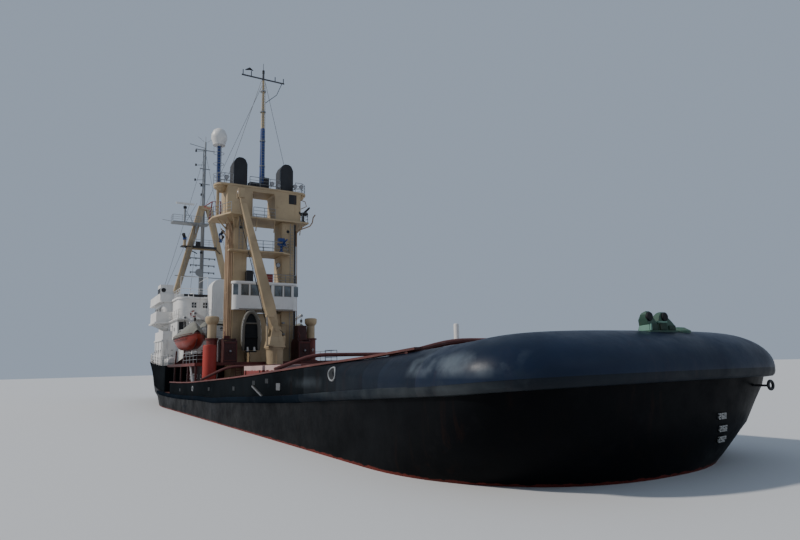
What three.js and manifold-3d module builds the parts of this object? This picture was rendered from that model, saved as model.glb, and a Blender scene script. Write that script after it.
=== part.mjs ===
// Ocean-going salvage and towing tug, afloat, as a 1:10 scale model.
// Every size below is in full-size metres: x runs from the stern end forward, y to port, z up from
// the waterline. The last lines scale the ship to millimetres and move its origin amidships.
import * as THREE from 'three';
import Module from 'manifold-3d';
import { mergeVertices } from 'three/addons/utils/BufferGeometryUtils.js';

const wasm = await Module();
wasm.setup();

// Scale: 1:10, so one full-size metre is 100 millimetres of model
const MM_PER_METRE = 100;
const GAP = 0.003;              // parting gap between neighbouring pieces
const RUN = 0.06;               // running clearance of moving pieces
const BEARING = 0.008;          // radial clearance of a shaft in its bore

// Hull
const LENGTH = 92;
const HALF_BEAM = 7.8;
const KEEL_Z = -5.8;
const MIDSHIP = LENGTH / 2;
// Sheer stations along the deck edge: x, deck height, top of bulwark
const SHEER = [[0, 3.75, 5.16], [3.9, 3.45, 4.9], [7.2, 3.27, 4.68], [10.6, 3.09, 4.43], [14, 2.9, 4.24],
  [18, 2.66, 4.03], [22, 2.48, 3.84], [26, 2.33, 3.64], [30.5, 2.17, 3.45], [36, 1.9, 3.25], [41, 1.9, 3.08],
  [46, 1.78, 2.93], [51, 1.7, 2.86], [56, 1.7, 2.85], [59.5, 1.75, 2.85], [63, 1.85, 2.85], [90, 4.3, 2.85]];
const STERN_RUN = 3.7;          // length of the rounded quarters in plan
const STERN_POWER = 3.2;        // roundness of the quarters
const BULWARK_END = 56;         // the low bulwark stops at the forecastle side
const BULWARK_THICK = 0.22;
const STRAKE_END = 63;
const CROWN_END = 18;           // the rounded towing crown fades into the bulwark here
const CROWN_WIDTH = 2.1;
const STRAKE_REACH = 0.3;        // the crown overhangs the hull as far as the strake stands out

// Superstructure levels
const DECK_THICK = 0.2;
const BOAT_DECK_Z = 4.75;
const BOAT_DECK_AFT = 45.2;
const BRIDGE_DECK_Z = 10.6;
const BRIDGE_DECK_THICK = 0.22;
const HINGE_EDGE = 0.05;        // a door's hinge lies this far from its edge
const WHEEL_TOP_Z = 13.3;
const HOUSE_FORE = 81;
const FORECASTLE_AFT = 59.4;
const DECK_A = (x) => 7.9 + 0.02 * (x - 62);
const FORE_DECK = [[64, 4.7], [78, 5.5], [82, 5.9], [87, 5.9], [92, 7.2]];

// Tower
const TOWER_X = 49.2;
const TOWER_DEPTH = 2.6;
const LEG_Y = 2.62;
const LEG_WIDTH = 1.5;
const TOP_BOX_Z = 20.2;
const TOP_BOX_TOP = 23.55;
const TOP_PLATE_Z = 23.7;        // top of the plate that roofs the box and carries the masts
const TOP_BOX_HALF = 4.1;
const MID_PLATFORM_Z = 16.4;
const CABIN_FLOOR_Z = 10.15;
const CABIN_ROOF_Z = 13.1;

const PLATFORM_THICK = 0.18;
const LEG_INNER = LEG_Y - LEG_WIDTH / 2;
const LEG_OUTER = LEG_Y + LEG_WIDTH / 2;
const TOWER_AFT = TOWER_X - TOWER_DEPTH / 2;
const TOWER_FORE = TOWER_X + TOWER_DEPTH / 2;
const BASE_HALF = 1.1;          // half the length of the wall between the legs
const ROOF_THICK = 0.25;
const MAST_BLUE_TOP = 31;
const RADOME_X = 49.0;
const RADOME_Y = 4.85;
const RADOME_Z = 28.3;

// Foremast and radar
const WHEEL_ROOF = WHEEL_TOP_Z + ROOF_THICK;
const FOREMAST_X = 77.8;
const POLE_X = 78.8;
const RADAR_PLATFORM_Z = 25.9;
const RADAR_X = FOREMAST_X - 1.3;
const RADAR_Y = 3.2;
const SCANNER_Z = 28.4;

// Winches, ventilators and the inflatable boat behind the tower
const DRUM_X = 46.35;
const DRUM_Z = 5.85;
const DRUM_HALF = 0.5;
const SHAFT_RADIUS = 0.14;
// Each row is the side's name, its y and the height of its upper housing above the drum
const WINCHES = [['port', 4.15, 0], ['starboard', -3.55, 2.65]];
const VENT_X = 46.9;
const VENT_BASE = 0.52;
const VENTS = [['port', 5.55], ['starboard', -4.9]];
const RAFT_X = 46.68;
const RAFT_Y = 1.7;
const RAFT_Z = 5.75;

// Towing pins
const PIN_LOW = 4.3;
const PIN_TOP = 5.82;

// Boats and davits
const BOAT_X = 55.5;
const BOAT_KEEL_Z = 6.3;
const DAVIT_X = 2.8;            // arms stand this far fore and aft of the boat's middle
const DAVIT_TUBE = 0.12;
const DAVIT_PIVOT = { y: 4.6, z: BOAT_DECK_Z + 0.3 };
const DAVIT_HEAD = { y: 6.05, z: BOAT_DECK_Z + 5.4 };
const PULLEY = 0.2;

// Deck crane
const CRANE_X = 44.3;
const PEDESTAL_TOP = 6.1;
const JIB_PIN = 0.1;
const CRANE_PIVOT_Z = 7.9;
const JIB_LENGTH = 14.2;
const JIB_ELEVATION = 75;       // degrees, at rest, pointing to port

const lerpTable = (table) => (x) => {
  if (x <= table[0][0]) return table[0][1];
  for (let i = 1; i < table.length; i++) {
    const [x0, z0] = table[i - 1];
    const [x1, z1] = table[i];
    if (x <= x1) return z0 + ((z1 - z0) * (x - x0)) / (x1 - x0);
  }
  return table[table.length - 1][1];
};
const deckZ = lerpTable(SHEER.map(([x, deck]) => [x, deck]));
const bulwarkTop = lerpTable(SHEER.map(([x, , top]) => [x, top]));
const foreDeckZ = lerpTable(FORE_DECK);

// Materials

const paint = (color, roughness = 0.5, metalness = 0.1) => (
  new THREE.MeshStandardMaterial({ color, roughness, metalness })
);
const NAVY = paint(0x141a2b, 0.4);
const BLACK = paint(0x08090c, 0.5);
const DARK_RED = paint(0x5a1c1a, 0.6);
const RED = paint(0x9c2a22, 0.55);
const BUFF = paint(0x9a7f5c, 0.6);
const WHITE = paint(0xe6e8ea, 0.5);
const GREY = paint(0x8b9096, 0.6);
const GREEN = paint(0x2f5a48, 0.6);
const BLUE = paint(0x24407c, 0.5);
const ORANGE = paint(0xc84a22, 0.5);
const BRONZE = paint(0xa98a4a, 0.35, 0.9);
const STEEL = paint(0x5a5c5e, 0.5, 0.8);

// Geometry helpers

function positionsOnly(geometry) {
  const bare = geometry.clone();
  for (const name of Object.keys(bare.attributes)) if (name !== 'position') bare.deleteAttribute(name);
  return mergeVertices(bare, 1e-4);
}

function toManifold(geometry) {
  const bare = positionsOnly(geometry);
  const mesh = new wasm.Mesh({
    numProp: 3,
    vertProperties: new Float32Array(bare.attributes.position.array),
    triVerts: new Uint32Array(bare.index.array),
  });
  return new wasm.Manifold(mesh);
}

function fromManifold(manifold) {
  const mesh = manifold.getMesh();
  const geometry = new THREE.BufferGeometry();
  geometry.setAttribute('position', new THREE.BufferAttribute(new Float32Array(mesh.vertProperties), 3));
  geometry.setIndex(new THREE.BufferAttribute(new Uint32Array(mesh.triVerts), 1));
  return geometry;
}

const join = (...parts) => fromManifold(parts.map(toManifold).reduce((sum, part) => sum.add(part)));
const common = (a, b) => fromManifold(toManifold(a).intersect(toManifold(b)));
const cut = (base, ...tools) => (
  fromManifold(tools.map(toManifold).reduce((rest, tool) => rest.subtract(tool), toManifold(base)))
);

function box(x0, x1, y0, y1, z0, z1) {
  const block = new THREE.BoxGeometry(x1 - x0, y1 - y0, z1 - z0);
  return block.translate((x0 + x1) / 2, (y0 + y1) / 2, (z0 + z1) / 2);
}

// Box on one side of the ship: its sides are given as distances from the centre line
const sideBox = (side, x0, x1, inner, outer, z0, z1) => (
  side > 0 ? box(x0, x1, inner, outer, z0, z1) : box(x0, x1, -outer, -inner, z0, z1)
);

function rod(from, to, radius, sides = 12, endRadius = radius) {
  const a = new THREE.Vector3(...from);
  const b = new THREE.Vector3(...to);
  const geometry = new THREE.CylinderGeometry(endRadius, radius, a.distanceTo(b), sides);
  const along = b.clone().sub(a).normalize();
  const turn = new THREE.Quaternion().setFromUnitVectors(new THREE.Vector3(0, 1, 0), along);
  return geometry.applyQuaternion(turn).translate(...a.add(b).multiplyScalar(0.5));
}

// Straight beam of rectangular section between two points, its width across and its depth given at each end
function beam(from, to, [width0, depth0], [width1, depth1], acrossHint) {
  const a = new THREE.Vector3(...from);
  const b = new THREE.Vector3(...to);
  const along = b.clone().sub(a).normalize();
  const hint = new THREE.Vector3(...acrossHint);
  const across = hint.clone().addScaledVector(along, -along.dot(hint)).normalize();
  const up = along.clone().cross(across);
  const corners = [[-1, -1], [1, -1], [1, 1], [-1, 1]];
  const end = (centre, width, depth) => corners.map(([s, t]) => centre.clone()
    .addScaledVector(across, (s * width) / 2).addScaledVector(up, (t * depth) / 2));
  return loft([end(a, width0, depth0), end(b, width1, depth1)]);
}

// Closed solid through a list of closed sections that have the same number of points
function loft(sections, ladder = false) {
  const count = sections[0].length;
  const vertices = sections.flat();
  const index = [];
  for (let s = 0; s < sections.length - 1; s++) {
    for (let i = 0; i < count; i++) {
      const j = (i + 1) % count;
      const a = s * count + i;
      const b = s * count + j;
      index.push(a, b, b + count, a, b + count, a + count);
    }
  }
  const cap = ladder ? ladderCap : capEnd;
  cap(vertices, index, 0, count, true);
  cap(vertices, index, (sections.length - 1) * count, count, false);
  return facing(vertices, index);
}

// Cap of a whole outline by rungs across the ship, so that a deck keeps its sheer
function ladderCap(vertices, index, first, count, reversed) {
  const half = count / 2;
  const port = (k) => first + k;
  const starboard = (k) => first + ((count - k) % count);
  for (let k = 0; k < half; k++) {
    const faces = [[port(k), port(k + 1), starboard(k + 1)], [port(k), starboard(k + 1), starboard(k)]];
    for (const face of faces) {
      if (new Set(face).size === 3) index.push(...(reversed ? face.reverse() : face));
    }
  }
}

function capEnd(vertices, index, first, count, reversed) {
  const ring = vertices.slice(first, first + count);
  const normal = new THREE.Vector3();
  for (let i = 0; i < count; i++) normal.add(ring[i].clone().cross(ring[(i + 1) % count]));
  normal.normalize();
  const helper = Math.abs(normal.x) > 0.7 ? new THREE.Vector3(0, 1, 0) : new THREE.Vector3(1, 0, 0);
  const u = helper.clone().cross(normal).normalize();
  const v = normal.clone().cross(u);
  const flat = ring.map((p) => new THREE.Vector2(p.dot(u), p.dot(v)));
  for (const [a, b, c] of THREE.ShapeUtils.triangulateShape(flat, [])) {
    if (reversed) index.push(first + a, first + c, first + b);
    else index.push(first + a, first + b, first + c);
  }
}

// Indexed geometry with its faces turned outward
function facing(vertices, index) {
  let volume = 0;
  for (let i = 0; i < index.length; i += 3) {
    const [a, b, c] = [vertices[index[i]], vertices[index[i + 1]], vertices[index[i + 2]]];
    volume += a.dot(b.clone().cross(c));
  }
  if (volume < 0) index.reverse();
  const geometry = new THREE.BufferGeometry().setFromPoints(vertices);
  geometry.setIndex(index);
  return geometry;
}

// Prism of a closed outline of [x, y] points between two heights
function slab(outline, z0, z1) {
  const shape = new THREE.Shape(outline.map(([x, y]) => new THREE.Vector2(x, y)));
  return new THREE.ExtrudeGeometry(shape, { depth: z1 - z0, bevelEnabled: false }).translate(0, 0, z0);
}

// Prism across the ship of a side profile of [x, z] points
function sideProfile(points, y0, y1) {
  const shape = new THREE.Shape(points.map(([x, z]) => new THREE.Vector2(x, z)));
  return new THREE.ExtrudeGeometry(shape, { depth: y1 - y0, bevelEnabled: false })
    .rotateX(Math.PI / 2).translate(0, y1, 0);
}

// Prism along the ship of a front profile of [y, z] points
function frontProfile(points, x0, x1) {
  const shape = new THREE.Shape(points.map(([y, z]) => new THREE.Vector2(y, z)));
  return new THREE.ExtrudeGeometry(shape, { depth: x1 - x0, bevelEnabled: false })
    .rotateX(Math.PI / 2).rotateZ(Math.PI / 2).translate(x0, 0, 0);
}

function roundedRect(x0, x1, y0, y1, r, steps = 4) {
  const corners = [[x1 - r, y1 - r, 0], [x0 + r, y1 - r, 90], [x0 + r, y0 + r, 180], [x1 - r, y0 + r, 270]];
  return corners.flatMap(([cx, cy, start]) => Array.from({ length: steps + 1 }, (_, i) => {
    const angle = THREE.MathUtils.degToRad(start + (90 * i) / steps);
    return [cx + r * Math.cos(angle), cy + r * Math.sin(angle)];
  }));
}

// Round pipe along straight legs with eased corners
function pipe(points, radius, sides = 8, ease = 0.4) {
  const path = new THREE.CurvePath();
  const corners = points.map((p) => new THREE.Vector3(...p));
  let start = corners[0];
  for (let i = 1; i < corners.length - 1; i++) {
    const before = corners[i].clone().sub(corners[i - 1]).normalize();
    const after = corners[i + 1].clone().sub(corners[i]).normalize();
    const into = corners[i].clone().addScaledVector(before, -ease);
    const out = corners[i].clone().addScaledVector(after, ease);
    path.add(new THREE.LineCurve3(start, into));
    path.add(new THREE.QuadraticBezierCurve3(into, corners[i], out));
    start = out;
  }
  path.add(new THREE.LineCurve3(start, corners[corners.length - 1]));
  const sections = [];
  path.curves.forEach((curve, k) => {
    const steps = curve.isLineCurve3 ? 1 : 4;
    for (let i = k === 0 ? 0 : 1; i <= steps; i++) {
      sections.push([curve.getPoint(i / steps), curve.getTangent(i / steps)]);
    }
  });
  let side = Math.abs(sections[0][1].z) > 0.7 ? new THREE.Vector3(1, 0, 0) : new THREE.Vector3(0, 0, 1);
  return loft(sections.map(([centre, tangent]) => {
    side = side.clone().addScaledVector(tangent, -side.dot(tangent)).normalize();
    const other = tangent.clone().cross(side);
    return Array.from({ length: sides }, (_, i) => {
      const angle = (2 * Math.PI * i) / sides;
      return centre.clone()
        .addScaledVector(side, radius * Math.cos(angle))
        .addScaledVector(other, radius * Math.sin(angle));
    });
  }));
}

// Solid of revolution about a vertical axis from [radius, z] points that start and end on the axis
function turned(profile, sides = 20) {
  const lathe = new THREE.LatheGeometry(profile.map(([r, z]) => new THREE.Vector2(r, z)), sides);
  return lathe.rotateX(Math.PI / 2);
}

const model = new THREE.Group();

function piece(name, geometry, material) {
  const mesh = new THREE.Mesh(geometry, material);
  mesh.name = name;
  model.add(mesh);
  return mesh;
}

const SIDES = [['port', 1], ['starboard', -1]];
const PILLARS = [45.6, 49.2, 52.8, 56.4];

// Trims a piece that stands on a sloping surface so that its foot follows it
const seatedOn = (body, geometry) => cut(geometry, body.clone().translate(0, 0, GAP));

// Hull outline in plan
// One waterline is half an outline from the stern's centre to the stem: a rounded quarter, a straight
// side and a tapering entrance. Each has the same number of points, so waterlines can be lofted.

const QUARTER_STEPS = 8;
const SIDE_X = SHEER.slice(2, -1).map(([x]) => x);
const BOW_STEPS = 10;

function waterline({ aft, fore, half, sternRun, bowRun, sternPower, bowPower }) {
  const points = [];
  for (let i = 0; i <= QUARTER_STEPS; i++) {
    const angle = (Math.PI / 2) * (i / QUARTER_STEPS);
    points.push([
      aft + sternRun * (1 - Math.cos(angle) ** (2 / sternPower)),
      half * Math.sin(angle) ** (2 / sternPower),
    ]);
  }
  const sideStart = aft + sternRun;
  const sideEnd = fore - bowRun;
  for (const x of SIDE_X) {
    const along = (x - SHEER[1][0]) / (SIDE_X[SIDE_X.length - 1] - SHEER[1][0]);
    points.push([sideStart + (sideEnd - sideStart) * along, half]);
  }
  for (let i = 1; i <= BOW_STEPS; i++) {
    const v = i / BOW_STEPS;
    points.push([sideEnd + bowRun * v, half * (1 - v ** bowPower)]);
  }
  return points;
}

// Whole closed outline: the port half, then the starboard half mirrored
function wholeOutline(half, zOf) {
  const port = half.map(([x, y]) => new THREE.Vector3(x, y, zOf(x)));
  const starboard = half.slice(1, -1).reverse().map(([x, y]) => new THREE.Vector3(x, -y, zOf(x)));
  return [...port, ...starboard];
}

// Hull

const SKEG_PROFILE = [[9.5, -1.6], [11, KEEL_Z + 0.25], [40, KEEL_Z + 0.02], [40, -3], [20, -1.0]];

// Waterlines from the keel up. Each has its height, stern end, stem, half breadth, and the length and
// fullness of its run at the stern and of its entrance at the bow.
const HULL_LINES = [
  [KEEL_Z, 30, 84, 5.6, 16, 1.5, 30, 1.6],
  [-5.5, 24, 85.5, 6.9, 18, 1.6, 30, 1.7],
  [-4.9, 19, 86, 7.5, 19, 1.7, 30, 1.75],
  [-3.8, 14, 86.2, 7.75, 19, 1.8, 30, 1.8],
  [-2.2, 8.6, 86, 7.79, 17, 1.9, 29, 1.85],
  [-0.8, 1.6, 86.2, HALF_BEAM, 11, 2.2, 28, 1.9],
  [0.5, 0.96, 87, HALF_BEAM, 7.4, 2.4, 27, 2.0],
  [1.5, 0.62, 88, HALF_BEAM, 5.4, 2.7, 27, 2.1],
].map(([z, aft, fore, half, sternRun, sternPower, bowRun, bowPower]) => (
  { z, aft, fore, half, sternRun, sternPower, bowRun, bowPower }
));
const DECK_LINE = {
  aft: 0.2,
  fore: 90,
  half: HALF_BEAM,
  sternRun: STERN_RUN,
  sternPower: STERN_POWER,
  bowRun: 27,
  bowPower: 2.3,
};
const UNDER_DECK = { ...DECK_LINE, aft: 0.45, fore: 89 };
const UNDER_DECK_DROP = 0.75;
const PARTING_Z = 0.5;          // the hull ends and the topsides begin at this height
const BOLLARDS = [[13, 5.2], [13, -5.2], [34, 6.6], [34, -6.6]];

function hullSolid() {
  const lines = HULL_LINES.filter(({ z }) => z <= PARTING_Z);
  const shell = loft(lines.map((line) => wholeOutline(waterline(line), () => line.z)), true);
  const skeg = sideProfile(SKEG_PROFILE, -0.35, 0.35);
  const bulb = new THREE.SphereGeometry(1, 20, 12).scale(5.2, 1.35, 1.7).translate(84.5, 0, -3.6);
  const gear = SIDES.flatMap(([, side]) => [shaftBracket(side), rudderTrunk(side), bilgeKeel(side)]);
  return join(shell, skeg, bulb, ...gear);
}

// Topsides and main deck on the hull, with what is welded to the deck
function mainDeckSolid() {
  const underDeckZ = (x) => deckZ(x) - UNDER_DECK_DROP;
  const rings = HULL_LINES.filter(({ z }) => z >= PARTING_Z).map((line) => {
    const z = Math.max(line.z, PARTING_Z + GAP);
    return wholeOutline(waterline(line), (x) => Math.min(z, underDeckZ(x) - 0.2));
  });
  const underDeck = wholeOutline(waterline(UNDER_DECK), underDeckZ);
  const shell = loft([...rings, underDeck, wholeOutline(waterline(DECK_LINE), deckZ)], true);
  return join(shell, ...BOLLARDS.map(([x, y]) => bollardPair(x, y)), deckPost());
}

// A strip that follows the deck edge round the stern from one fore end to the other.
// sectionAt(x) gives its closed section as [inset from the deck outline, z] points.
function stripRoundStern(foreEnd, sectionAt) {
  const stationsFor = (inset) => {
    const half = waterline({
      ...DECK_LINE,
      aft: DECK_LINE.aft + inset,
      half: HALF_BEAM - inset,
      sternRun: STERN_RUN - inset,
    }).slice(0, QUARTER_STEPS + 1);
    return half;
  };
  const sideX = SIDE_X.filter((x) => x <= foreEnd);
  const pointAt = (k, inset, z) => {
    if (k <= QUARTER_STEPS) {
      const [x, y] = stationsFor(inset)[k];
      return new THREE.Vector3(x, y, z);
    }
    return new THREE.Vector3(sideX[k - QUARTER_STEPS - 1], HALF_BEAM - inset, z);
  };
  const total = QUARTER_STEPS + sideX.length;
  const sections = [];
  for (let k = -total; k <= total; k++) {
    const n = Math.abs(k);
    const x = pointAt(n, 0, 0).x;
    sections.push(sectionAt(x).map(([inset, z]) => {
      const p = pointAt(n, inset, z);
      if (k < 0) p.y = -p.y;
      return p;
    }));
  }
  return loft(sections);
}

const fadeCrown = (x) => {
  const t = THREE.MathUtils.clamp((CROWN_END - x) / (CROWN_END - 5), 0, 1);
  return t * t * (3 - 2 * t);
};

function bulwarkSolid() {
  const arcSteps = 6;
  const edge = 0.06;            // rounding of the plain bulwark's top
  const crownInner = 0.5;       // inner slope of the crown
  return stripRoundStern(BULWARK_END, (x) => {
    const low = deckZ(x) + 3 * GAP;
    const top = bulwarkTop(x);
    const crown = fadeCrown(x);
    const over = STRAKE_REACH * crown;
    const width = THREE.MathUtils.lerp(edge, CROWN_WIDTH, crown);
    const drop = THREE.MathUtils.lerp(edge, top - low - edge, crown);
    const inner = width - over + THREE.MathUtils.lerp(BULWARK_THICK - edge, crownInner, crown);
    const outer = Array.from({ length: arcSteps + 1 }, (_, i) => {
      const angle = (Math.PI / 2) * (i / arcSteps);
      return [width * (1 - Math.cos(angle)) - over, top - drop * (1 - Math.sin(angle))];
    });
    return [[-over, low], ...outer, [inner, top - 0.03], [inner, low]];
  });
}

function strakeSolid() {
  const height = 0.42;
  const bevel = 0.12;
  return stripRoundStern(STRAKE_END, (x) => {
    const top = deckZ(x);
    return [[-GAP, top - height], [-STRAKE_REACH, top - height + bevel], [-STRAKE_REACH, top], [-GAP, top]];
  });
}

// Guard arches over the towing deck. Each row is x, then [y, z] points from the port rail to the middle.
const ARCHES = [
  [7.8, [[6.9, 4.55], [4.6, 5.05]]],
  [21.8, [[7.6, 4.02], [5.2, 4.85]]],
  [41.8, [[7.6, 3.22], [5.2, 4.35]]],
];
const ARCH_RADIUS = 0.12;

function towArch([x, portHalf]) {
  const path = [...portHalf, ...portHalf.slice().reverse().map(([y, z]) => [-y, z])];
  return pipe(path.map(([y, z]) => [x, y, z]), ARCH_RADIUS, 10, 0.9);
}

function capRailsAndArches() {
  const thick = 0.1;
  const outward = 0.06;
  const inward = 0.34;
  const rails = SIDES.map(([, side]) => {
    const stations = SIDE_X.filter((x) => x <= BULWARK_END);
    return loft(stations.map((x) => {
      const top = bulwarkTop(x) + GAP;
      const middle = HALF_BEAM - CROWN_WIDTH * 0.5 * fadeCrown(x);
      const corners = [[middle + outward, top], [middle + outward, top + thick],
        [middle - inward, top + thick], [middle - inward, top]];
      return corners.map(([y, z]) => new THREE.Vector3(x, side * y, z));
    }));
  });
  return join(...rails, ...ARCHES.map((arch) => seatedOn(bulwarkBody, towArch(arch))));
}

// Raised forecastle: stands on the main deck from the break to the stem, with a shallow bulwark round it
function forecastleSolid() {
  const stations = [FORECASTLE_AFT, 64, 68, 72, 76, 78, 80, 82, 84.5, 87, 88.5, 90, 91, 91.7];
  const run = 27;
  const stemHalf = 0.12;
  const halfAt = (x, fore, power) => {
    const v = THREE.MathUtils.clamp((x - (fore - run)) / run, 0, 1);
    return Math.max(HALF_BEAM * (1 - v ** power), stemHalf);
  };
  const shell = loft(stations.map((x) => {
    const low = deckZ(Math.min(x, DECK_LINE.fore)) + GAP;
    const deck = foreDeckZ(x);
    const rise = THREE.MathUtils.clamp((x - HOUSE_FORE - 1) / 2.5, 0, 1);
    const rail = deck + THREE.MathUtils.lerp(0.02, 1.15, rise);
    const lower = x > DECK_LINE.fore - 0.1 ? stemHalf / 2 : halfAt(x, DECK_LINE.fore, DECK_LINE.bowPower);
    const upper = halfAt(x, LENGTH, 2.9);
    const wall = Math.min(0.2, upper * 0.4);
    const half = [[lower, low], [upper, rail], [upper - wall, rail], [upper - wall, deck]];
    const whole = [...half, ...half.slice().reverse().map(([y, z]) => [-y, z])];
    return whole.map(([y, z]) => new THREE.Vector3(x, y, z));
  }));
  return join(shell, ...SIDES.map(([, side]) => anchor(side)));
}

// Stockless anchor hauled up against the flare of the bow
function anchor(side) {
  const x = 85.2;
  const shank = beam([x, side * 3.75, 6.2], [x, side * 3.25, 4.6], [0.28, 0.3], [0.3, 0.34], [1, 0, 0]);
  const crown = beam([x - 0.75, side * 3.25, 4.5], [x + 0.75, side * 3.1, 4.5], [0.35, 0.5], [0.35, 0.5],
    [0, 0, 1]);
  const flukes = [-0.6, 0.6].map((d) => beam([x + d, side * 3.25, 4.45], [x + d * 0.85, side * 3.7, 5.6],
    [0.34, 0.3], [0.1, 0.12], [1, 0, 0]));
  return join(shank, crown, ...flukes);
}

// Underwater gear

const SHAFT_Y = 3.3;
const SHAFT_Z = -3.9;
const PROPELLER_X = 6.9;
const PROPELLER_RADIUS = 1.75;
const NOZZLE_INNER = PROPELLER_RADIUS + 0.08;
const NOZZLE_OUTER = 2.12;
const NOZZLE_LENGTH = 1.9;
const RUDDER_STOCK_X = 4.55;
const RUDDER_BLADE_TOP = -1.5;
const TRUNK_BOTTOM = RUDDER_BLADE_TOP + RUN;
const BRACKET_X = PROPELLER_X + 1.5;

// Section of the nozzle's ring: radius and distance along the shaft, closed
const NOZZLE_SECTION = [[NOZZLE_INNER + 0.05, -NOZZLE_LENGTH / 2], [NOZZLE_OUTER - 0.12, -NOZZLE_LENGTH / 2],
  [NOZZLE_OUTER, NOZZLE_LENGTH * 0.2], [NOZZLE_OUTER - 0.04, NOZZLE_LENGTH / 2],
  [NOZZLE_INNER + 0.1, NOZZLE_LENGTH / 2], [NOZZLE_INNER, NOZZLE_LENGTH * 0.1],
  [NOZZLE_INNER + 0.05, -NOZZLE_LENGTH / 2]];

function nozzleSolid(side) {
  const y = side * SHAFT_Y;
  const ring = new THREE.LatheGeometry(NOZZLE_SECTION.map(([r, z]) => new THREE.Vector2(r, z)), 28)
    .rotateZ(-Math.PI / 2).translate(PROPELLER_X, y, SHAFT_Z);
  const pylonLow = SHAFT_Z + NOZZLE_OUTER - 0.2;
  const pylon = box(PROPELLER_X - 0.7, PROPELLER_X + 0.8, y - 0.25, y + 0.25, pylonLow, 0);
  return cut(join(ring, pylon), hullBody.clone().translate(0, 0, -GAP));
}

// Stern tube and the two arms that carry it, part of the hull
function shaftBracket(side) {
  const y = side * SHAFT_Y;
  const tube = rod([PROPELLER_X + 0.5 + GAP, y, SHAFT_Z], [19, y, SHAFT_Z], 0.34, 14);
  const arms = [1.5, -1.5].map((reach) => beam([BRACKET_X, y, SHAFT_Z], [BRACKET_X + 0.3, y + reach, -1.4],
    [0.7, 0.16], [0.8, 0.18], [1, 0, 0]));
  return join(tube, ...arms);
}

// Fixed bearing above each rudder, part of the hull
const rudderTrunk = (side) => (
  rod([RUDDER_STOCK_X, side * SHAFT_Y, TRUNK_BOTTOM], [RUDDER_STOCK_X, side * SHAFT_Y, 0.2], 0.3, 14)
);

const bilgeKeel = (side) => (
  beam([30, side * 7.25, -5.28], [60, side * 7.25, -5.28], [0.06, 0.75], [0.06, 0.75], [0, 0.7, side * 0.7])
);

function propellerSolid(side) {
  const hub = rod([-0.75, 0, 0], [0.5, 0, 0], 0.3, 16, 0.38);
  const cone = rod([-1.15, 0, 0], [-0.74, 0, 0], 0.1, 16, 0.3);
  const blades = [0, 1, 2, 3].map((k) => {
    const blade = beam([0, 0, 0.2], [0, 0, PROPELLER_RADIUS], [0.75, 0.14], [0.85, 0.05], [1, side * 0.9, 0]);
    return blade.rotateX((Math.PI / 2) * k);
  });
  return join(hub, cone, ...blades);
}

function rudderSolid() {
  const section = [[0.7, 0], [0.5, 0.17], [0, 0.2], [-0.9, 0.12], [-1.7, 0.03]];
  const outline = [...section, ...section.slice(1).reverse().map(([x, y]) => [x, -y])];
  const blade = slab(outline, SHAFT_Z - 1.9, RUDDER_BLADE_TOP);
  const stock = rod([0, 0, RUDDER_BLADE_TOP - 0.1], [0, 0, TRUNK_BOTTOM - GAP], 0.16, 14);
  return join(blade, stock);
}

// Superstructure

const DECKHOUSE_AFT = 50.7;

function mainDeckHouse() {
  const top = BOAT_DECK_Z - DECK_THICK - GAP;
  const xs = [DECKHOUSE_AFT, 54, 58, FORECASTLE_AFT - GAP];
  const profile = [...xs.map((x) => [x, deckZ(x) + GAP]), ...xs.slice().reverse().map((x) => [x, top])];
  return sideProfile(profile, -5.4, 5.4);
}

// Raised deck from the winches to the forecastle, on pillars along both sides. The tower and the
// ventilators pass through it.
function boatDeckSolid() {
  const fore = FORECASTLE_AFT - GAP;
  const low = BOAT_DECK_Z - DECK_THICK;
  const plan = [[BOAT_DECK_AFT, -7.35], [fore, -7.6], [fore, 7.6], [BOAT_DECK_AFT, 7.35]];
  const pillars = SIDES.flatMap(([, side]) => PILLARS.map((x) => (
    sideBox(side, x - 0.09, x + 0.09, 7.16, 7.34, deckZ(x) + GAP, BOAT_DECK_Z - DECK_THICK / 2)
  )));
  const seats = SIDES.flatMap(([, side]) => davitSeats(side));
  const legHoles = SIDES.map(([, side]) => sideBox(side, TOWER_AFT - GAP, TOWER_FORE + GAP,
    LEG_INNER - GAP, LEG_OUTER + GAP, low - 1, BOAT_DECK_Z + 1));
  const baseHole = box(TOWER_X - BASE_HALF - GAP, TOWER_X + BASE_HALF + GAP, -LEG_INNER, LEG_INNER,
    low - 1, BOAT_DECK_Z + 1);
  const ventHoles = VENTS.map(([, y]) => (
    rod([VENT_X, y, low - 1], [VENT_X, y, BOAT_DECK_Z + 1], VENT_BASE + GAP, 20)
  ));
  return cut(join(slab(plan, low, BOAT_DECK_Z), ...pillars, ...seats), ...legHoles, baseHole, ...ventHoles);
}

// Closed body through stations [x, half breadth, low, high]
const tier = (stations) => loft(stations.map(([x, half, low, high]) => (
  [[half, low], [half, high], [-half, high], [-half, low]].map(([y, z]) => new THREE.Vector3(x, y, z))
)));

const SCREEN_HEIGHT = 1.05;
const SCREEN_THICK = 0.08;
const HOUSE_HALF = 5.7;
const HOUSE_DOOR = { x: 65, y0: 4.65, y1: 5.5, z0: DECK_A(65) + 0.2, z1: DECK_A(65) + 2.2, thick: 0.08 };

// Lower tier: narrow behind the boats, then out to the ship's side. Each row is x and half breadth.
const NARROW_AFT = 60;
const NARROW_HALF = 5.6;
const WIDE_TIER = [[64.7, 7.4], [72, 7.25], [76, 6.6], [79, 5.8], [HOUSE_FORE, 5.1]];

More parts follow.
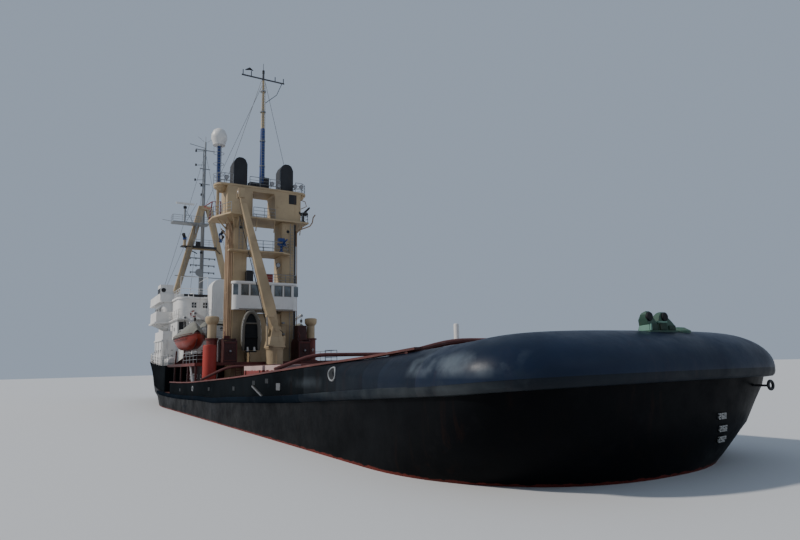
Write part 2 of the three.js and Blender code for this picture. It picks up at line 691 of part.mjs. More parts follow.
function lowerHouse() {
  const low = (x) => Math.max(BOAT_DECK_Z, foreDeckZ(x)) + GAP;
  const high = (x) => DECK_A(x) - DECK_THICK;
  const wide = tier(WIDE_TIER.map(([x, half]) => [x, half, low(x), high(x)]));
  const [wideAft] = WIDE_TIER[0];
  const narrow = tier([NARROW_AFT, wideAft, wideAft + 1].map((x) => [x, NARROW_HALF, low(x), high(x)]));
  return join(wide, narrow);
}

function deckASolid() {
  const over = 0.1;
  const low = (x) => DECK_A(x) - DECK_THICK + GAP;
  const plate = tier(WIDE_TIER.map(([x, half]) => [x, half + over, low(x), DECK_A(x)]));
  const narrow = tier([NARROW_AFT - over, WIDE_TIER[0][0] + 1].map((x) => (
    [x, NARROW_HALF + over, low(x), DECK_A(x)]
  )));
  const sunk = -0.05;
  const section = (half) => [[half, sunk], [half, SCREEN_HEIGHT], [half - SCREEN_THICK, SCREEN_HEIGHT],
    [half - SCREEN_THICK, sunk]];
  const screens = SIDES.map(([, side]) => loft(WIDE_TIER.slice(0, -1).map(([x, half]) => (
    section(half).map(([y, rise]) => new THREE.Vector3(x, side * y, DECK_A(x) + rise))
  ))));
  const [aft, aftHalf] = WIDE_TIER[0];
  const aftScreens = SIDES.map(([, side]) => sideBox(side, aft, aft + SCREEN_THICK, HOUSE_HALF + 0.6, aftHalf,
    DECK_A(aft) + sunk, DECK_A(aft) + SCREEN_HEIGHT));
  return join(plate, narrow, ...screens, ...aftScreens);
}

function upperHouse() {
  const fore = HOUSE_FORE - 1.2;
  const profile = [[HOUSE_DOOR.x, DECK_A(HOUSE_DOOR.x) + GAP], [fore, DECK_A(fore) + GAP],
    [fore, BRIDGE_DECK_Z - BRIDGE_DECK_THICK], [HOUSE_DOOR.x, BRIDGE_DECK_Z - BRIDGE_DECK_THICK]];
  const doorway = box(HOUSE_DOOR.x - 1, HOUSE_DOOR.x + 0.8, HOUSE_DOOR.y0, HOUSE_DOOR.y1,
    HOUSE_DOOR.z0, HOUSE_DOOR.z1);
  return cut(sideProfile(profile, -HOUSE_HALF, HOUSE_HALF), doorway);
}

// Steel door drawn about its hinge, at the outboard edge of the doorway and flush with the wall
function houseDoor() {
  const width = HOUSE_DOOR.y1 - HOUSE_DOOR.y0;
  return box(0, HOUSE_DOOR.thick, -width + GAP, -HINGE_EDGE, HOUSE_DOOR.z0 + GAP, HOUSE_DOOR.z1 - GAP);
}

function bridgeDeckSolid() {
  const half = [[63.6, 5.9], [70, 5.9], [70.4, 7.65], [75.6, 7.65], [76.2, 6.6], [79.4, 6.0], [80.8, 5.2]];
  const outline = [...half.map(([x, y]) => [x, -y]), ...half.slice().reverse()];
  const plate = slab(outline, BRIDGE_DECK_Z - BRIDGE_DECK_THICK + GAP, BRIDGE_DECK_Z);
  const low = BRIDGE_DECK_Z - 0.1;
  const high = BRIDGE_DECK_Z + 1.35;
  const wings = SIDES.flatMap(([, side]) => [
    sideBox(side, 70.6, 75.4, 7.38, 7.46, low, high),
    sideBox(side, 75.4, 75.48, 6.65, 7.46, low, high),
    sideBox(side, 70.52, 70.6, 5.55, 7.46, low, high),
  ]);
  return join(plate, ...wings);
}

// Wheelhouse: a narrow after part and a wide fore part, both with rounded corners
const WHEEL_AFT = 66.2;
const WHEEL_STEP = 71;
const WHEEL_FORE = 79.6;
const WHEEL_AFT_HALF = 5.4;
const WHEEL_HALF = 6.4;
const WALL = 0.15;
const SILL_Z = BRIDGE_DECK_Z + 1.4;
const HEAD_Z = BRIDGE_DECK_Z + 2.3;
const WING_DOOR = { x0: 71.75, x1: 72.6, z0: BRIDGE_DECK_Z + 0.15, z1: BRIDGE_DECK_Z + 2.1 };
const FRONT_WINDOWS = [-4.8, -3.2, -1.6, 0, 1.6, 3.2, 4.8];
const FLANK_WINDOWS = [73.7, 75.2, 76.7, 78.2];
const AFT_WINDOWS = [-3.5, -2.1, 2.1, 3.5];

// Plan of the wheelhouse grown or shrunk by a margin
function wheelhousePlan(margin, z0, z1) {
  const aftHalf = WHEEL_AFT_HALF + margin;
  const aft = roundedRect(WHEEL_AFT - margin, WHEEL_STEP + 1, -aftHalf, aftHalf, 1.1 + margin);
  const half = WHEEL_HALF + margin;
  const fore = roundedRect(WHEEL_STEP - margin, WHEEL_FORE + margin, -half, half, 0.7 + margin);
  return join(slab(aft, z0, z1), slab(fore, z0, z1));
}

function wheelhouseWalls() {
  const outer = wheelhousePlan(0, BRIDGE_DECK_Z + GAP, WHEEL_TOP_Z);
  const inner = wheelhousePlan(-WALL, BRIDGE_DECK_Z - 1, WHEEL_TOP_Z + 1);
  const through = 0.4;
  const front = FRONT_WINDOWS.map((y) => box(WHEEL_FORE - through, WHEEL_FORE + through, y - 0.62, y + 0.62,
    SILL_Z, HEAD_Z));
  const flank = SIDES.flatMap(([, side]) => FLANK_WINDOWS.map((x) => (
    sideBox(side, x - 0.6, x + 0.6, WHEEL_HALF - through, WHEEL_HALF + through, SILL_Z, HEAD_Z)
  )));
  const aft = AFT_WINDOWS.map((y) => box(WHEEL_AFT - through, WHEEL_AFT + through, y - 0.32, y + 0.32,
    SILL_Z + 0.15, HEAD_Z - 0.05));
  const doorways = SIDES.map(([, side]) => sideBox(side, WING_DOOR.x0, WING_DOOR.x1, WHEEL_HALF - through,
    WHEEL_HALF + through, WING_DOOR.z0, WING_DOOR.z1));
  return cut(outer, inner, ...front, ...flank, ...aft, ...doorways);
}

// Wing door drawn about its hinge, which is its forward edge; side is the way out of the wheelhouse
function wingDoor(side) {
  const width = WING_DOOR.x1 - WING_DOOR.x0;
  const thick = 0.08;
  const panel = box(-width + GAP, -HINGE_EDGE, -thick / 2, thick / 2, WING_DOOR.z0 + GAP, WING_DOOR.z1 - GAP);
  const pane = box(-width + 0.15, -0.2, -1, 1, BRIDGE_DECK_Z + 1.25, BRIDGE_DECK_Z + 1.9);
  return cut(panel, pane).translate(0, -side * 0.05, 0);
}

// Flat roof over the wheelhouse and the wings, with a screen round its top and a lamp box at each side
function wheelhouseRoof() {
  const roofHalf = 7.05;
  const aft = 70.9;
  const fore = WHEEL_FORE + 0.5;
  const screenTop = WHEEL_TOP_Z + 1.2;
  const grown = (margin, radius) => (
    roundedRect(aft - margin, fore + margin, -roofHalf - margin, roofHalf + margin, radius)
  );
  const narrowHalf = WHEEL_AFT_HALF + 0.15;
  const narrow = roundedRect(WHEEL_AFT - 0.15, aft + 1.1, -narrowHalf, narrowHalf, 1.25);
  const low = WHEEL_TOP_Z + GAP;
  const plate = join(slab(narrow, low, WHEEL_ROOF), slab(grown(0, 0.5), low, WHEEL_ROOF));
  const outside = slab(grown(-0.05, 0.5), WHEEL_ROOF - 0.05, screenTop);
  const screen = cut(outside, slab(grown(-0.15, 0.4), WHEEL_ROOF - 0.1, screenTop + 1));
  const lampBoxes = SIDES.map(([, side]) => sideBox(side, 71.1, 73.4, 5.3, roofHalf - 0.1, WHEEL_ROOF - 0.05,
    WHEEL_TOP_Z + 2.4));
  return join(plate, screen, ...lampBoxes);
}

const TRUNK_AFT = 63.7;
const TRUNK_FORE = 66;
const TRUNK_HALF = 1.85;
const TRUNK_TOP = 14.2;

// Ventilation trunk behind the wheelhouse with a rounded hood
function ventHood() {
  const trunk = box(TRUNK_AFT, TRUNK_FORE, -TRUNK_HALF, TRUNK_HALF, BRIDGE_DECK_Z + GAP, TRUNK_TOP + 0.1);
  const half = [[TRUNK_HALF, 0], [TRUNK_HALF, 0.5], [1.7, 0.95], [1.35, 1.35], [0.9, 1.5]];
  const profile = [...half, ...half.slice().reverse().map(([y, z]) => [-y, z])];
  return join(trunk, frontProfile(profile.map(([y, z]) => [y, z + TRUNK_TOP]), TRUNK_AFT, TRUNK_FORE));
}

// Tower

function towerLeg(side) {
  const [y0, y1] = side > 0 ? [LEG_INNER, LEG_OUTER] : [-LEG_OUTER, -LEG_INNER];
  return slab(roundedRect(TOWER_AFT, TOWER_FORE, y0, y1, 0.2, 2), deckZ(TOWER_X) - 0.3,
    TOP_BOX_Z - PLATFORM_THICK - GAP);
}

// Wall between the legs, and the plinth behind it that carries the inflatable boat
function towerBase() {
  const y = LEG_INNER - GAP;
  const foot = deckZ(TOWER_X) - 0.3;
  const wall = box(TOWER_X - BASE_HALF, TOWER_X + BASE_HALF, -y, y, foot, CABIN_FLOOR_Z - 0.3);
  const plinth = box(RAFT_X - 0.4, TOWER_X - BASE_HALF + 0.1, 0.7, y, BOAT_DECK_Z + GAP, RAFT_Z - GAP);
  return join(wall, plinth);
}

// Uptake box over each leg, joined by a lintel across the gap between them, with the plate that roofs
// them. The plate has a rounded nose at each end, and the port one carries the radome's post.
const GAP_PORT = 1.4;
const GAP_STARBOARD = -1.1;
const LINTEL_LOW = 23.2;
const PORT_NOSE = 5.3;
const STARBOARD_NOSE = -4.95;

function topBox() {
  const body = box(TOWER_AFT, TOWER_FORE, -TOP_BOX_HALF, TOP_BOX_HALF, TOP_BOX_Z + GAP, TOP_BOX_TOP);
  const plateAft = TOWER_AFT - 0.05;
  const plateFore = TOWER_FORE + 0.1;
  const low = TOP_BOX_TOP - 0.05;
  const plate = box(plateAft, plateFore, -TOP_BOX_HALF - 0.1, TOP_BOX_HALF + 0.1, low, TOP_PLATE_Z);
  const nosePlan = roundedRect(plateAft, RADOME_X + 1.1, STARBOARD_NOSE, PORT_NOSE, 0.95);
  const noses = slab(nosePlan, low, TOP_PLATE_Z);
  const stay = rod([RADOME_X, RADOME_Y, TOP_BOX_Z + GAP], [RADOME_X, RADOME_Y, TOP_BOX_TOP], 0.16, 12);
  const opening = frontProfile(roundedRect(GAP_STARBOARD, GAP_PORT, TOP_BOX_Z - 1, LINTEL_LOW, 0.4, 3),
    TOWER_AFT - 1, TOWER_FORE + 1);
  const recess = box(TOWER_AFT - 1, TOWER_AFT + 0.4, -3.6, -2.7, TOP_BOX_Z + 2.0, TOP_BOX_Z + 3.1);
  return join(cut(body, opening, recess), plate, noses, stay);
}

// Platform under the uptake boxes, which steps aft on the port side
const TOWER_PLATFORM = [[51.4, 5.3], [49.2, 5.3], [46.4, 4.1], [46.4, 2.9], [47.45, 1.8], [47.45, -4.9],
  [51.4, -4.9]];

function towerPlatforms() {
  return slab(TOWER_PLATFORM, TOP_BOX_Z - PLATFORM_THICK, TOP_BOX_Z);
}

function midPlatform() {
  const aft = TOWER_AFT - 0.1;
  const low = MID_PLATFORM_Z - 0.15;
  const plate = slab([[TOWER_X - 2.6, -1.6], [TOWER_X - 2.0, -2.6], [aft, -2.6], [aft, 4.0],
    [TOWER_X - 2.2, 4.0], [TOWER_X - 2.4, 0.5]], low, MID_PLATFORM_Z);
  const inner = LEG_INNER - GAP;
  return join(plate, box(aft - 0.05, TOWER_X + 1.0, -inner, inner, low, MID_PLATFORM_Z));
}

function funnelCap() {
  const half = [[0.72, 0], [0.72, 2.55], [0.5, 3.05], [0.2, 3.22]];
  return frontProfile([...half, ...half.slice().reverse().map(([y, z]) => [-y, z])], -0.9, 0.9);
}

// Winch control cabin: a bay behind the legs and a room between them
const CABIN_AFT = 47.0;
const CABIN_HALF = 3.5;
const CABIN_WALL = 0.1;
const CABIN_ROOM_FORE = 50.3;
const CABIN_SILL_Z = 11.65;
const CABIN_HEAD_Z = 12.75;
// Each row is a window's y and half its width
const CABIN_WINDOWS = [[-3.25, 0.25], [-2.3, 0.37], [-1.28, 0.42], [0, 0.45], [1.28, 0.42], [2.3, 0.37],
  [3.25, 0.25]];

function cabinPlan(margin, z0, z1) {
  const half = CABIN_HALF + margin;
  const fore = TOWER_AFT - GAP + Math.min(margin, 0);
  const aftCorners = roundedRect(CABIN_AFT - margin, CABIN_AFT + 3, -half, half, 0.6 + margin).slice(5, 15);
  const bay = [...aftCorners, [fore, -half], [fore, half]];
  const roomHalf = LEG_INNER - GAP + Math.min(margin, 0);
  const room = box(CABIN_AFT + 0.4, CABIN_ROOM_FORE + Math.min(margin, 0), -roomHalf, roomHalf, z0, z1);
  return join(slab(bay, z0, z1), room);
}

function controlCabin() {
  const shell = cabinPlan(0, CABIN_FLOOR_Z, CABIN_ROOF_Z - ROOF_THICK);
  const hollow = cabinPlan(-CABIN_WALL, CABIN_FLOOR_Z + 0.12, CABIN_ROOF_Z + 1);
  const windows = CABIN_WINDOWS.map(([y, half]) => box(CABIN_AFT - 0.4, CABIN_AFT + 0.35, y - half, y + half,
    CABIN_SILL_Z, CABIN_HEAD_Z));
  return cut(shell, hollow, ...windows);
}

function cabinRoof() {
  return cabinPlan(0.08, CABIN_ROOF_Z - ROOF_THICK + GAP, CABIN_ROOF_Z);
}

function mainMast() {
  const yardZ = 37.1;
  const lower = rod([TOWER_X, 0, TOP_PLATE_Z + GAP], [TOWER_X, 0, MAST_BLUE_TOP], 0.32, 12, 0.24);
  const upper = rod([TOWER_X, 0, MAST_BLUE_TOP - 0.1], [TOWER_X, 0, 37.8], 0.2, 12, 0.12);
  const yard = rod([TOWER_X, -2.5, yardZ], [TOWER_X, 2.5, yardZ], 0.09, 8);
  return join(lower, upper, yard);
}

function radomeMast() {
  const post = rod([0, 0, TOP_PLATE_Z + GAP], [0, 0, RADOME_Z], 0.2, 12);
  const plate = rod([0, 0, RADOME_Z - 0.2], [0, 0, RADOME_Z + 0.05], 0.65, 20);
  const profile = [[0, 0], [0.65, 0], [0.84, 0.55], [0.82, 1.0], [0.62, 1.45], [0.32, 1.68], [0, 1.75]];
  const dome = turned(profile.map(([r, z]) => [r, z + RADOME_Z]), 24);
  return join(post, plate, dome);
}

// Exhaust pipes up the outer sides of the legs: three to port that turn into the leg, one to starboard
const PIPE_FOOT_Z = BOAT_DECK_Z + 0.4;

function portExhausts() {
  const y = LEG_OUTER + 0.32;
  const elbowZ = TOP_BOX_Z - 0.7;
  const pipes = [-0.9, -0.32, 0.25].map((dx, k) => pipe([[TOWER_X + dx, y, PIPE_FOOT_Z + k * 0.2],
    [TOWER_X + dx, y, elbowZ], [TOWER_X + dx, LEG_OUTER + GAP, elbowZ]], 0.16, 8, 0.2));
  const clips = [7, 12, 17].map((z) => box(TOWER_X - 1.0, TOWER_X + 0.4, LEG_OUTER + 0.1, LEG_OUTER + 0.4,
    z, z + 0.12));
  return join(...pipes, ...clips);
}

function starboardExhaust() {
  const y = -LEG_OUTER - 0.3;
  const top = TOP_BOX_Z - PLATFORM_THICK - GAP;
  return pipe([[TOWER_X - 0.5, y, PIPE_FOOT_Z], [TOWER_X - 0.5, y, top]], 0.17, 8);
}

// Foremast

const BIPOD_APEX_Z = 29;
const BIPOD_FOOT_HALF = 0.375;  // half the leg's width fore and aft at the roof and at the apex
const BIPOD_HEAD_HALF = 0.3;
const bipodHalf = (z) => (
  BIPOD_FOOT_HALF + ((BIPOD_HEAD_HALF - BIPOD_FOOT_HALF) * (z - WHEEL_ROOF)) / (BIPOD_APEX_Z - WHEEL_ROOF)
);

function bipodMast() {
  const footY = 4.45;
  const headY = 0.5;
  const footSize = [2 * BIPOD_FOOT_HALF, 0.75];
  const headSize = [2 * BIPOD_HEAD_HALF, 0.95];
  const legs = SIDES.map(([, side]) => beam([FOREMAST_X, side * footY, WHEEL_ROOF - 0.5],
    [FOREMAST_X, side * headY, BIPOD_APEX_Z], footSize, headSize, [1, 0, 0]));
  const head = box(FOREMAST_X - 0.4, FOREMAST_X + 0.4, -0.7, 0.7, BIPOD_APEX_Z - 0.5, BIPOD_APEX_Z + 0.1);
  const tie = box(FOREMAST_X - 0.15, FOREMAST_X + 0.15, -2.4, 2.4, 22.2, 22.45);
  const below = box(FOREMAST_X - 2, FOREMAST_X + 2, -6, 6, WHEEL_ROOF - 2, WHEEL_ROOF + GAP);
  return cut(join(...legs, head, tie), below);
}

// Each row of the yards is height and reach to each side
const POLE_YARDS = [[21.1, 1.9], [20.0, 1.8], [18.9, 1.8], [38.6, 1.5], [33, 0.8], [35.5, 0.8]];

function poleMast() {
  const post = rod([POLE_X, 0, WHEEL_ROOF + GAP], [POLE_X, 0, 40], 0.26, 12, 0.12);
  return join(post, ...POLE_YARDS.map(([z, reach]) => rod([POLE_X, -reach, z], [POLE_X, reach, z], 0.08, 8)));
}

// Radar platform against the after side of the port leg, with the scanner's post
function radarPlatform() {
  const top = RADAR_PLATFORM_Z;
  const fore = FOREMAST_X - bipodHalf(top - 1.4) - GAP;
  const plate = slab(roundedRect(FOREMAST_X - 2.2, fore, -0.25, 5.05, 0.3, 2), top - 0.15, top);
  const gusset = [[fore, top - 0.1], [fore, top - 1.4], [fore - 0.2, top - 1.4], [fore - 1.6, top - 0.1]];
  const bracket = sideProfile(gusset, 1.3, 1.5);
  const post = rod([RADAR_X, RADAR_Y, top - 0.1], [RADAR_X, RADAR_Y, SCANNER_Z], 0.14, 10);
  return join(plate, bracket, post);
}

function radarScanner() {
  return join(box(-0.12, 0.12, -1.3, 1.3, 0.35, 0.6), rod([0, 0, 0], [0, 0, 0.4], 0.12, 10));
}

// Working deck

function winchFrame(housing) {
  const low = BOAT_DECK_Z + GAP - DRUM_Z;
  const top = 1.25;
  const half = 0.68;
  const outline = [[-1.05, low], [1.05, low], [1.05, 0.9], [0.6, top], [-0.7, top], [-1.05, 1.0]];
  const cheek = (y) => sideProfile(outline, y - 0.06, y + 0.06);
  const parts = [cheek(-0.62), cheek(0.62), box(-1.05, 1.05, -half, half, low, low + 0.15),
    box(-0.7, 0.6, -half, half, top - 0.15, top), box(-1.13, -1.0, -half, half, low, 1.0),
    rod([-1.2, 0, 0], [-1.1, 0, 0], 0.16, 16)];
  if (housing) parts.push(box(-0.4, 0.55, -0.5, 0.5, top - 0.1, housing));
  const bore = rod([0, -1, 0], [0, 1, 0], SHAFT_RADIUS + BEARING, 20);
  return cut(join(...parts), bore);
}

function winchDrum() {
  const shaft = rod([0, -0.68, 0], [0, 0.68, 0], SHAFT_RADIUS, 20);
  const barrel = rod([0, -DRUM_HALF + 0.02, 0], [0, DRUM_HALF - 0.02, 0], 0.5, 20);
  const flanges = [-1, 1].map((s) => rod([0, s * (DRUM_HALF - 0.06), 0], [0, s * DRUM_HALF, 0], 0.8, 24));
  return join(shaft, barrel, ...flanges);
}

function cranePedestal() {
  return rod([CRANE_X, 0, deckZ(CRANE_X) - 0.3], [CRANE_X, 0, PEDESTAL_TOP], 0.83, 24);
}

// The jib's foot is pinned between two cheeks; turret and jib are drawn pointing to port
function craneTurret() {
  const square = (half, z) => (
    [[-half, -half], [half, -half], [half, half], [-half, half]].map(([x, y]) => new THREE.Vector3(x, y, z))
  );
  const body = loft([square(0.85, PEDESTAL_TOP + GAP), square(0.62, CRANE_PIVOT_Z - 0.7)]);
  const low = CRANE_PIVOT_Z - 0.8;
  const high = CRANE_PIVOT_Z + 0.3;
  const cheek = (x) => frontProfile([[-0.6, low], [0.6, low], [0.4, high], [-0.4, high]], x - 0.07, x + 0.07);
  const bore = rod([-1, 0, CRANE_PIVOT_Z], [1, 0, CRANE_PIVOT_Z], JIB_PIN + BEARING, 20);
  return cut(join(body, cheek(-0.52), cheek(0.52)), bore).translate(CRANE_X, 0, 0);
}

// Box jib, deepest at a sixth of its length
function craneJib() {
  const angle = THREE.MathUtils.degToRad(JIB_ELEVATION);
  const head = [0, JIB_LENGTH * Math.cos(angle), JIB_LENGTH * Math.sin(angle)];
  const along = (share) => head.map((v) => v * share);
  const root = beam([0, 0, 0], along(0.16), [0.8, 0.55], [0.8, 1.05], [1, 0, 0]);
  const arm = beam(along(0.155), head, [0.8, 1.05], [0.45, 0.45], [1, 0, 0]);
  return join(root, arm, rod([-0.58, 0, 0], [0.58, 0, 0], JIB_PIN, 20));
}

function ventCowl() {
  const z = deckZ(VENT_X) - 0.3;
  return turned([[0, z], [VENT_BASE, z], [VENT_BASE, 7.1], [0.43, 7.15], [0.43, 8.7], [0.58, 8.8], [0.6, 9.2],
    [0.45, 9.35], [0, 9.4]], 20);
}

// Lockers along the port side. Each row is the ends of one lid.
const LOCKERS = [[22.6, 25.8], [26.4, 30.7]];

function deckBoxes() {
  const [aft, fore] = [LOCKERS[0][0], LOCKERS[LOCKERS.length - 1][1]];
  const lidLow = deckZ(aft) + 0.2;
  const base = box(aft + 0.2, fore - 0.2, 5.7, 6.8, deckZ(fore) - 0.2, lidLow + 0.1);
  return join(base, ...LOCKERS.map(([x0, x1]) => box(x0, x1, 5.6, 6.9, lidLow, 4.3)));
}

// Towing pins on the crown of the stern: two horns on one foot, and a low dome beside them. Each horn is a
// row of [y, z] points seen from astern, cut to one row of [x, z] points seen from the side.
const PIN_HORNS = [
  [[0.47, PIN_LOW], [0.47, 5.3], [0.6, 5.5], [0.62, 5.7], [0.55, PIN_TOP], [0.34, PIN_TOP], [0.24, 5.62],
    [0.02, 5.38], [0.02, PIN_LOW]],
  [[-0.045, PIN_LOW], [-0.045, 5.41], [-0.14, 5.65], [-0.27, 5.8], [-0.58, 5.8], [-0.64, 5.6], [-0.87, 5.44],
    [-1.05, 5.29], [-1.15, 4.86], [-1.15, PIN_LOW]],
];
const PIN_AFT = 1.3;
const PIN_FORE = 1.9;
const PIN_SIDE = [[PIN_AFT, PIN_LOW], [PIN_AFT, 5.76], [1.36, PIN_TOP], [1.5, 5.76], [1.66, 5.5], [1.8, 5.15],
  [PIN_FORE, PIN_LOW]];
const PIN_FOOT_TOP = 5.12;
const DOME_Y = -1.62;

function towPins() {
  const foot = box(PIN_AFT - 0.03, PIN_FORE + 0.02, -1.17, 0.5, PIN_LOW, PIN_FOOT_TOP);
  const side = sideProfile(PIN_SIDE, -2, 2);
  const horns = PIN_HORNS.map((outline) => common(frontProfile(outline, PIN_AFT, PIN_FORE), side));
  const dome = turned([[0, PIN_LOW], [0.46, PIN_LOW], [0.46, 5.12], [0.25, 5.25], [0, 5.28]], 20)
    .translate((PIN_AFT + PIN_FORE) / 2, DOME_Y, 0);
  return join(foot, ...horns, dome);
}

function bollardPair(x, y) {
  const z = deckZ(x);
  const foot = box(x - 0.9, x + 0.9, y - 0.3, y + 0.3, z - 0.3, z + 0.12);
  const posts = [-0.55, 0.55].map((d) => rod([x + d, y, z + 0.1], [x + d, y, z + 0.85], 0.2, 12));
  return join(foot, ...posts);
}

function deckPost() {
  return rod([22.7, -6.6, deckZ(22.7) - 0.3], [22.7, -6.6, 7.05], 0.2, 14);
}

// Inflatable boat stowed on end against the tower, as its outline seen from astern
function inflatableBoat() {
  const half = [[0.97, 0], [1.05, 1.4], [1.0, 2.8], [0.75, 3.7], [0.4, 4.2], [0.12, 4.35]];
  const outline = [...half, ...half.slice().reverse().map(([y, z]) => [-y, z])];
  return frontProfile(outline.map(([y, z]) => [y + RAFT_Y, z + RAFT_Z]), RAFT_X - 0.26, RAFT_X + 0.26);
}

// Boats and davits

// Stations of the lifeboat: x, half breadth, keel and rise of the cover above the gunwale
const BOAT_STATIONS = [[-4.3, 0.12, 1.15, 0.7], [-3.6, 0.8, 0.55, 0.95], [-1.8, 1.22, 0.1, 1.3],
  [0.8, 1.32, 0.0, 1.35], [2.8, 1.05, 0.2, 1.05], [4.3, 0.12, 1.0, 0.8]];
const BOAT_GUNWALE = 1.5;

// Lifeboat drawn about the davit heads, where it hangs by two falls
function lifeboat() {
  const keelZ = BOAT_KEEL_Z - DAVIT_HEAD.z;
  const sections = BOAT_STATIONS.map(([x, half, keel, rise]) => {
    const side = [[0.12 * half, keel], [0.8 * half, keel + 0.45], [half, BOAT_GUNWALE],
      [half * 0.75, BOAT_GUNWALE + rise * 0.5], [half * 0.08, BOAT_GUNWALE + rise]];
    const whole = [...side, ...side.slice().reverse().map(([y, z]) => [-y, z])];
    return whole.map(([y, z]) => new THREE.Vector3(x, y, z + keelZ));
  });
  const falls = [-DAVIT_X, DAVIT_X].map((x) => (
    box(x - 0.06, x + 0.06, -0.06, 0.06, keelZ + BOAT_GUNWALE, -PULLEY - GAP)
  ));
  return join(loft(sections), ...falls);
}

// Two arms on one cross tube, drawn about the tube; side is outboard
function davitArms(side) {
  const reach = side * (DAVIT_HEAD.y - DAVIT_PIVOT.y);
  const rise = DAVIT_HEAD.z - DAVIT_PIVOT.z;
  const arms = [-DAVIT_X, DAVIT_X].flatMap((x) => [
    box(x - 0.13, x + 0.13, -0.18, 0.18, 0, rise - 0.7),
    beam([x, 0, rise - 0.85], [x, reach, rise], [0.26, 0.36], [0.2, 0.24], [1, 0, 0]),
    rod([x - 0.14, reach, rise], [x + 0.14, reach, rise], PULLEY, 16),
  ]);
  return join(rod([-DAVIT_X - 0.4, 0, 0], [DAVIT_X + 0.4, 0, 0], DAVIT_TUBE, 12), ...arms);
}

// Bearings of the davits' cross tubes, part of the boat deck
function davitSeats(side) {
  return [-DAVIT_X + 0.6, 0, DAVIT_X - 0.6].map((dx) => sideBox(side, BOAT_X + dx - 0.2, BOAT_X + dx + 0.2,
    DAVIT_PIVOT.y - 0.2, DAVIT_PIVOT.y + 0.2, BOAT_DECK_Z - 0.1, DAVIT_PIVOT.z - DAVIT_TUBE - GAP));
}

// Fore deck

const WINDLASS_X = 84;
const WINDLASS_Z = foreDeckZ(WINDLASS_X) + 0.75;

function windlass() {
  const z = foreDeckZ(WINDLASS_X) + GAP;
  const bed = box(-0.9, 1.2, -1.6, 1.6, z - WINDLASS_Z, z - WINDLASS_Z + 0.15);
  const gearbox = box(-0.9, -0.3, -0.7, 0.7, z - WINDLASS_Z, 0.45);
  const cheeks = [-1.45, -0.65, 0.65, 1.45].map((y) => (
    box(-0.35, 0.35, y - 0.08, y + 0.08, z - WINDLASS_Z, 0.35)
  ));
  const arms = [-0.65, 0.65].map((y) => box(-0.6, 0.2, y - 0.08, y + 0.08, -0.3, 0.3));
  const bore = rod([0, -3, 0], [0, 3, 0], SHAFT_RADIUS + BEARING, 20);
  return cut(join(bed, gearbox, ...cheeks, ...arms), bore).translate(WINDLASS_X, 0, WINDLASS_Z);
}

function windlassDrum() {
  const shaft = rod([0, -2.1, 0], [0, 2.1, 0], SHAFT_RADIUS, 20);
  const gypsies = [-1.05, 1.05].map((y) => rod([0, y - 0.2, 0], [0, y + 0.2, 0], 0.42, 20));
  const warpEnds = [-1, 1].map((s) => rod([0, s * 1.6, 0], [0, s * 2.1, 0], 0.3, 20, 0.38));
  return join(shaft, ...gypsies, ...warpEnds);
}

// Assembly

const hullBody = hullSolid();
piece('hull', hullBody, BLACK);
const mainDeckBody = mainDeckSolid();
piece('main_deck', mainDeckBody, BLACK);
const bulwarkBody = bulwarkSolid();
piece('bulwark', bulwarkBody, NAVY);
piece('rubbing_strake', strakeSolid(), NAVY);
piece('cap_rails', capRailsAndArches(), RED);
piece('forecastle', forecastleSolid(), NAVY);
piece('main_deck_house', mainDeckHouse(), DARK_RED);
piece('boat_deck', boatDeckSolid(), WHITE);
piece('lower_house', lowerHouse(), WHITE);
piece('deck_a', deckASolid(), WHITE);
piece('upper_house', upperHouse(), WHITE);
piece('bridge_deck', bridgeDeckSolid(), WHITE);
piece('wheelhouse', wheelhouseWalls(), WHITE);
piece('wheelhouse_roof', wheelhouseRoof(), WHITE);
piece('house_door', houseDoor(), WHITE).position.set(HOUSE_DOOR.x, HOUSE_DOOR.y1, 0);
piece('vent_hood', ventHood(), GREY);
piece('tower_base', seatedOn(mainDeckBody, towerBase()), DARK_RED);
piece('tower_top_box', topBox(), BUFF);
piece('tower_platform', towerPlatforms(), BUFF);
piece('mid_platform', midPlatform(), BUFF);
piece('control_cabin', controlCabin(), WHITE);
piece('cabin_roof', cabinRoof(), WHITE);
piece('main_mast', mainMast(), BLUE);
piece('radome_mast', radomeMast(), WHITE).position.set(RADOME_X, RADOME_Y, 0);
piece('exhaust_pipes_port', portExhausts(), GREY);
piece('exhaust_pipes_starboard', starboardExhaust(), GREY);
piece('bipod_mast', bipodMast(), BUFF);
piece('pole_mast', poleMast(), GREY);
piece('radar_platform', radarPlatform(), GREY);
piece('radar_scanner', radarScanner(), GREY).position.set(RADAR_X, RADAR_Y, SCANNER_Z + GAP);
piece('crane_pedestal', seatedOn(mainDeckBody, cranePedestal()), BUFF);
piece('crane_turret', craneTurret(), BUFF);
piece('crane_jib', craneJib(), BUFF).position.set(CRANE_X, 0, CRANE_PIVOT_Z);
piece('deck_boxes', seatedOn(mainDeckBody, deckBoxes()), RED);
piece('tow_pins', seatedOn(bulwarkBody, towPins()), GREEN);
piece('inflatable_boat', inflatableBoat(), GREY);
for (const [name, y, housing] of WINCHES) {
  piece(`winch_frame_${name}`, winchFrame(housing), DARK_RED).position.set(DRUM_X, y, DRUM_Z);
  piece(`winch_drum_${name}`, winchDrum(), STEEL).position.set(DRUM_X, y, DRUM_Z);
}
for (const [name, y] of VENTS) {
  piece(`vent_cowl_${name}`, seatedOn(mainDeckBody, ventCowl().translate(VENT_X, y, 0)), BUFF);
}
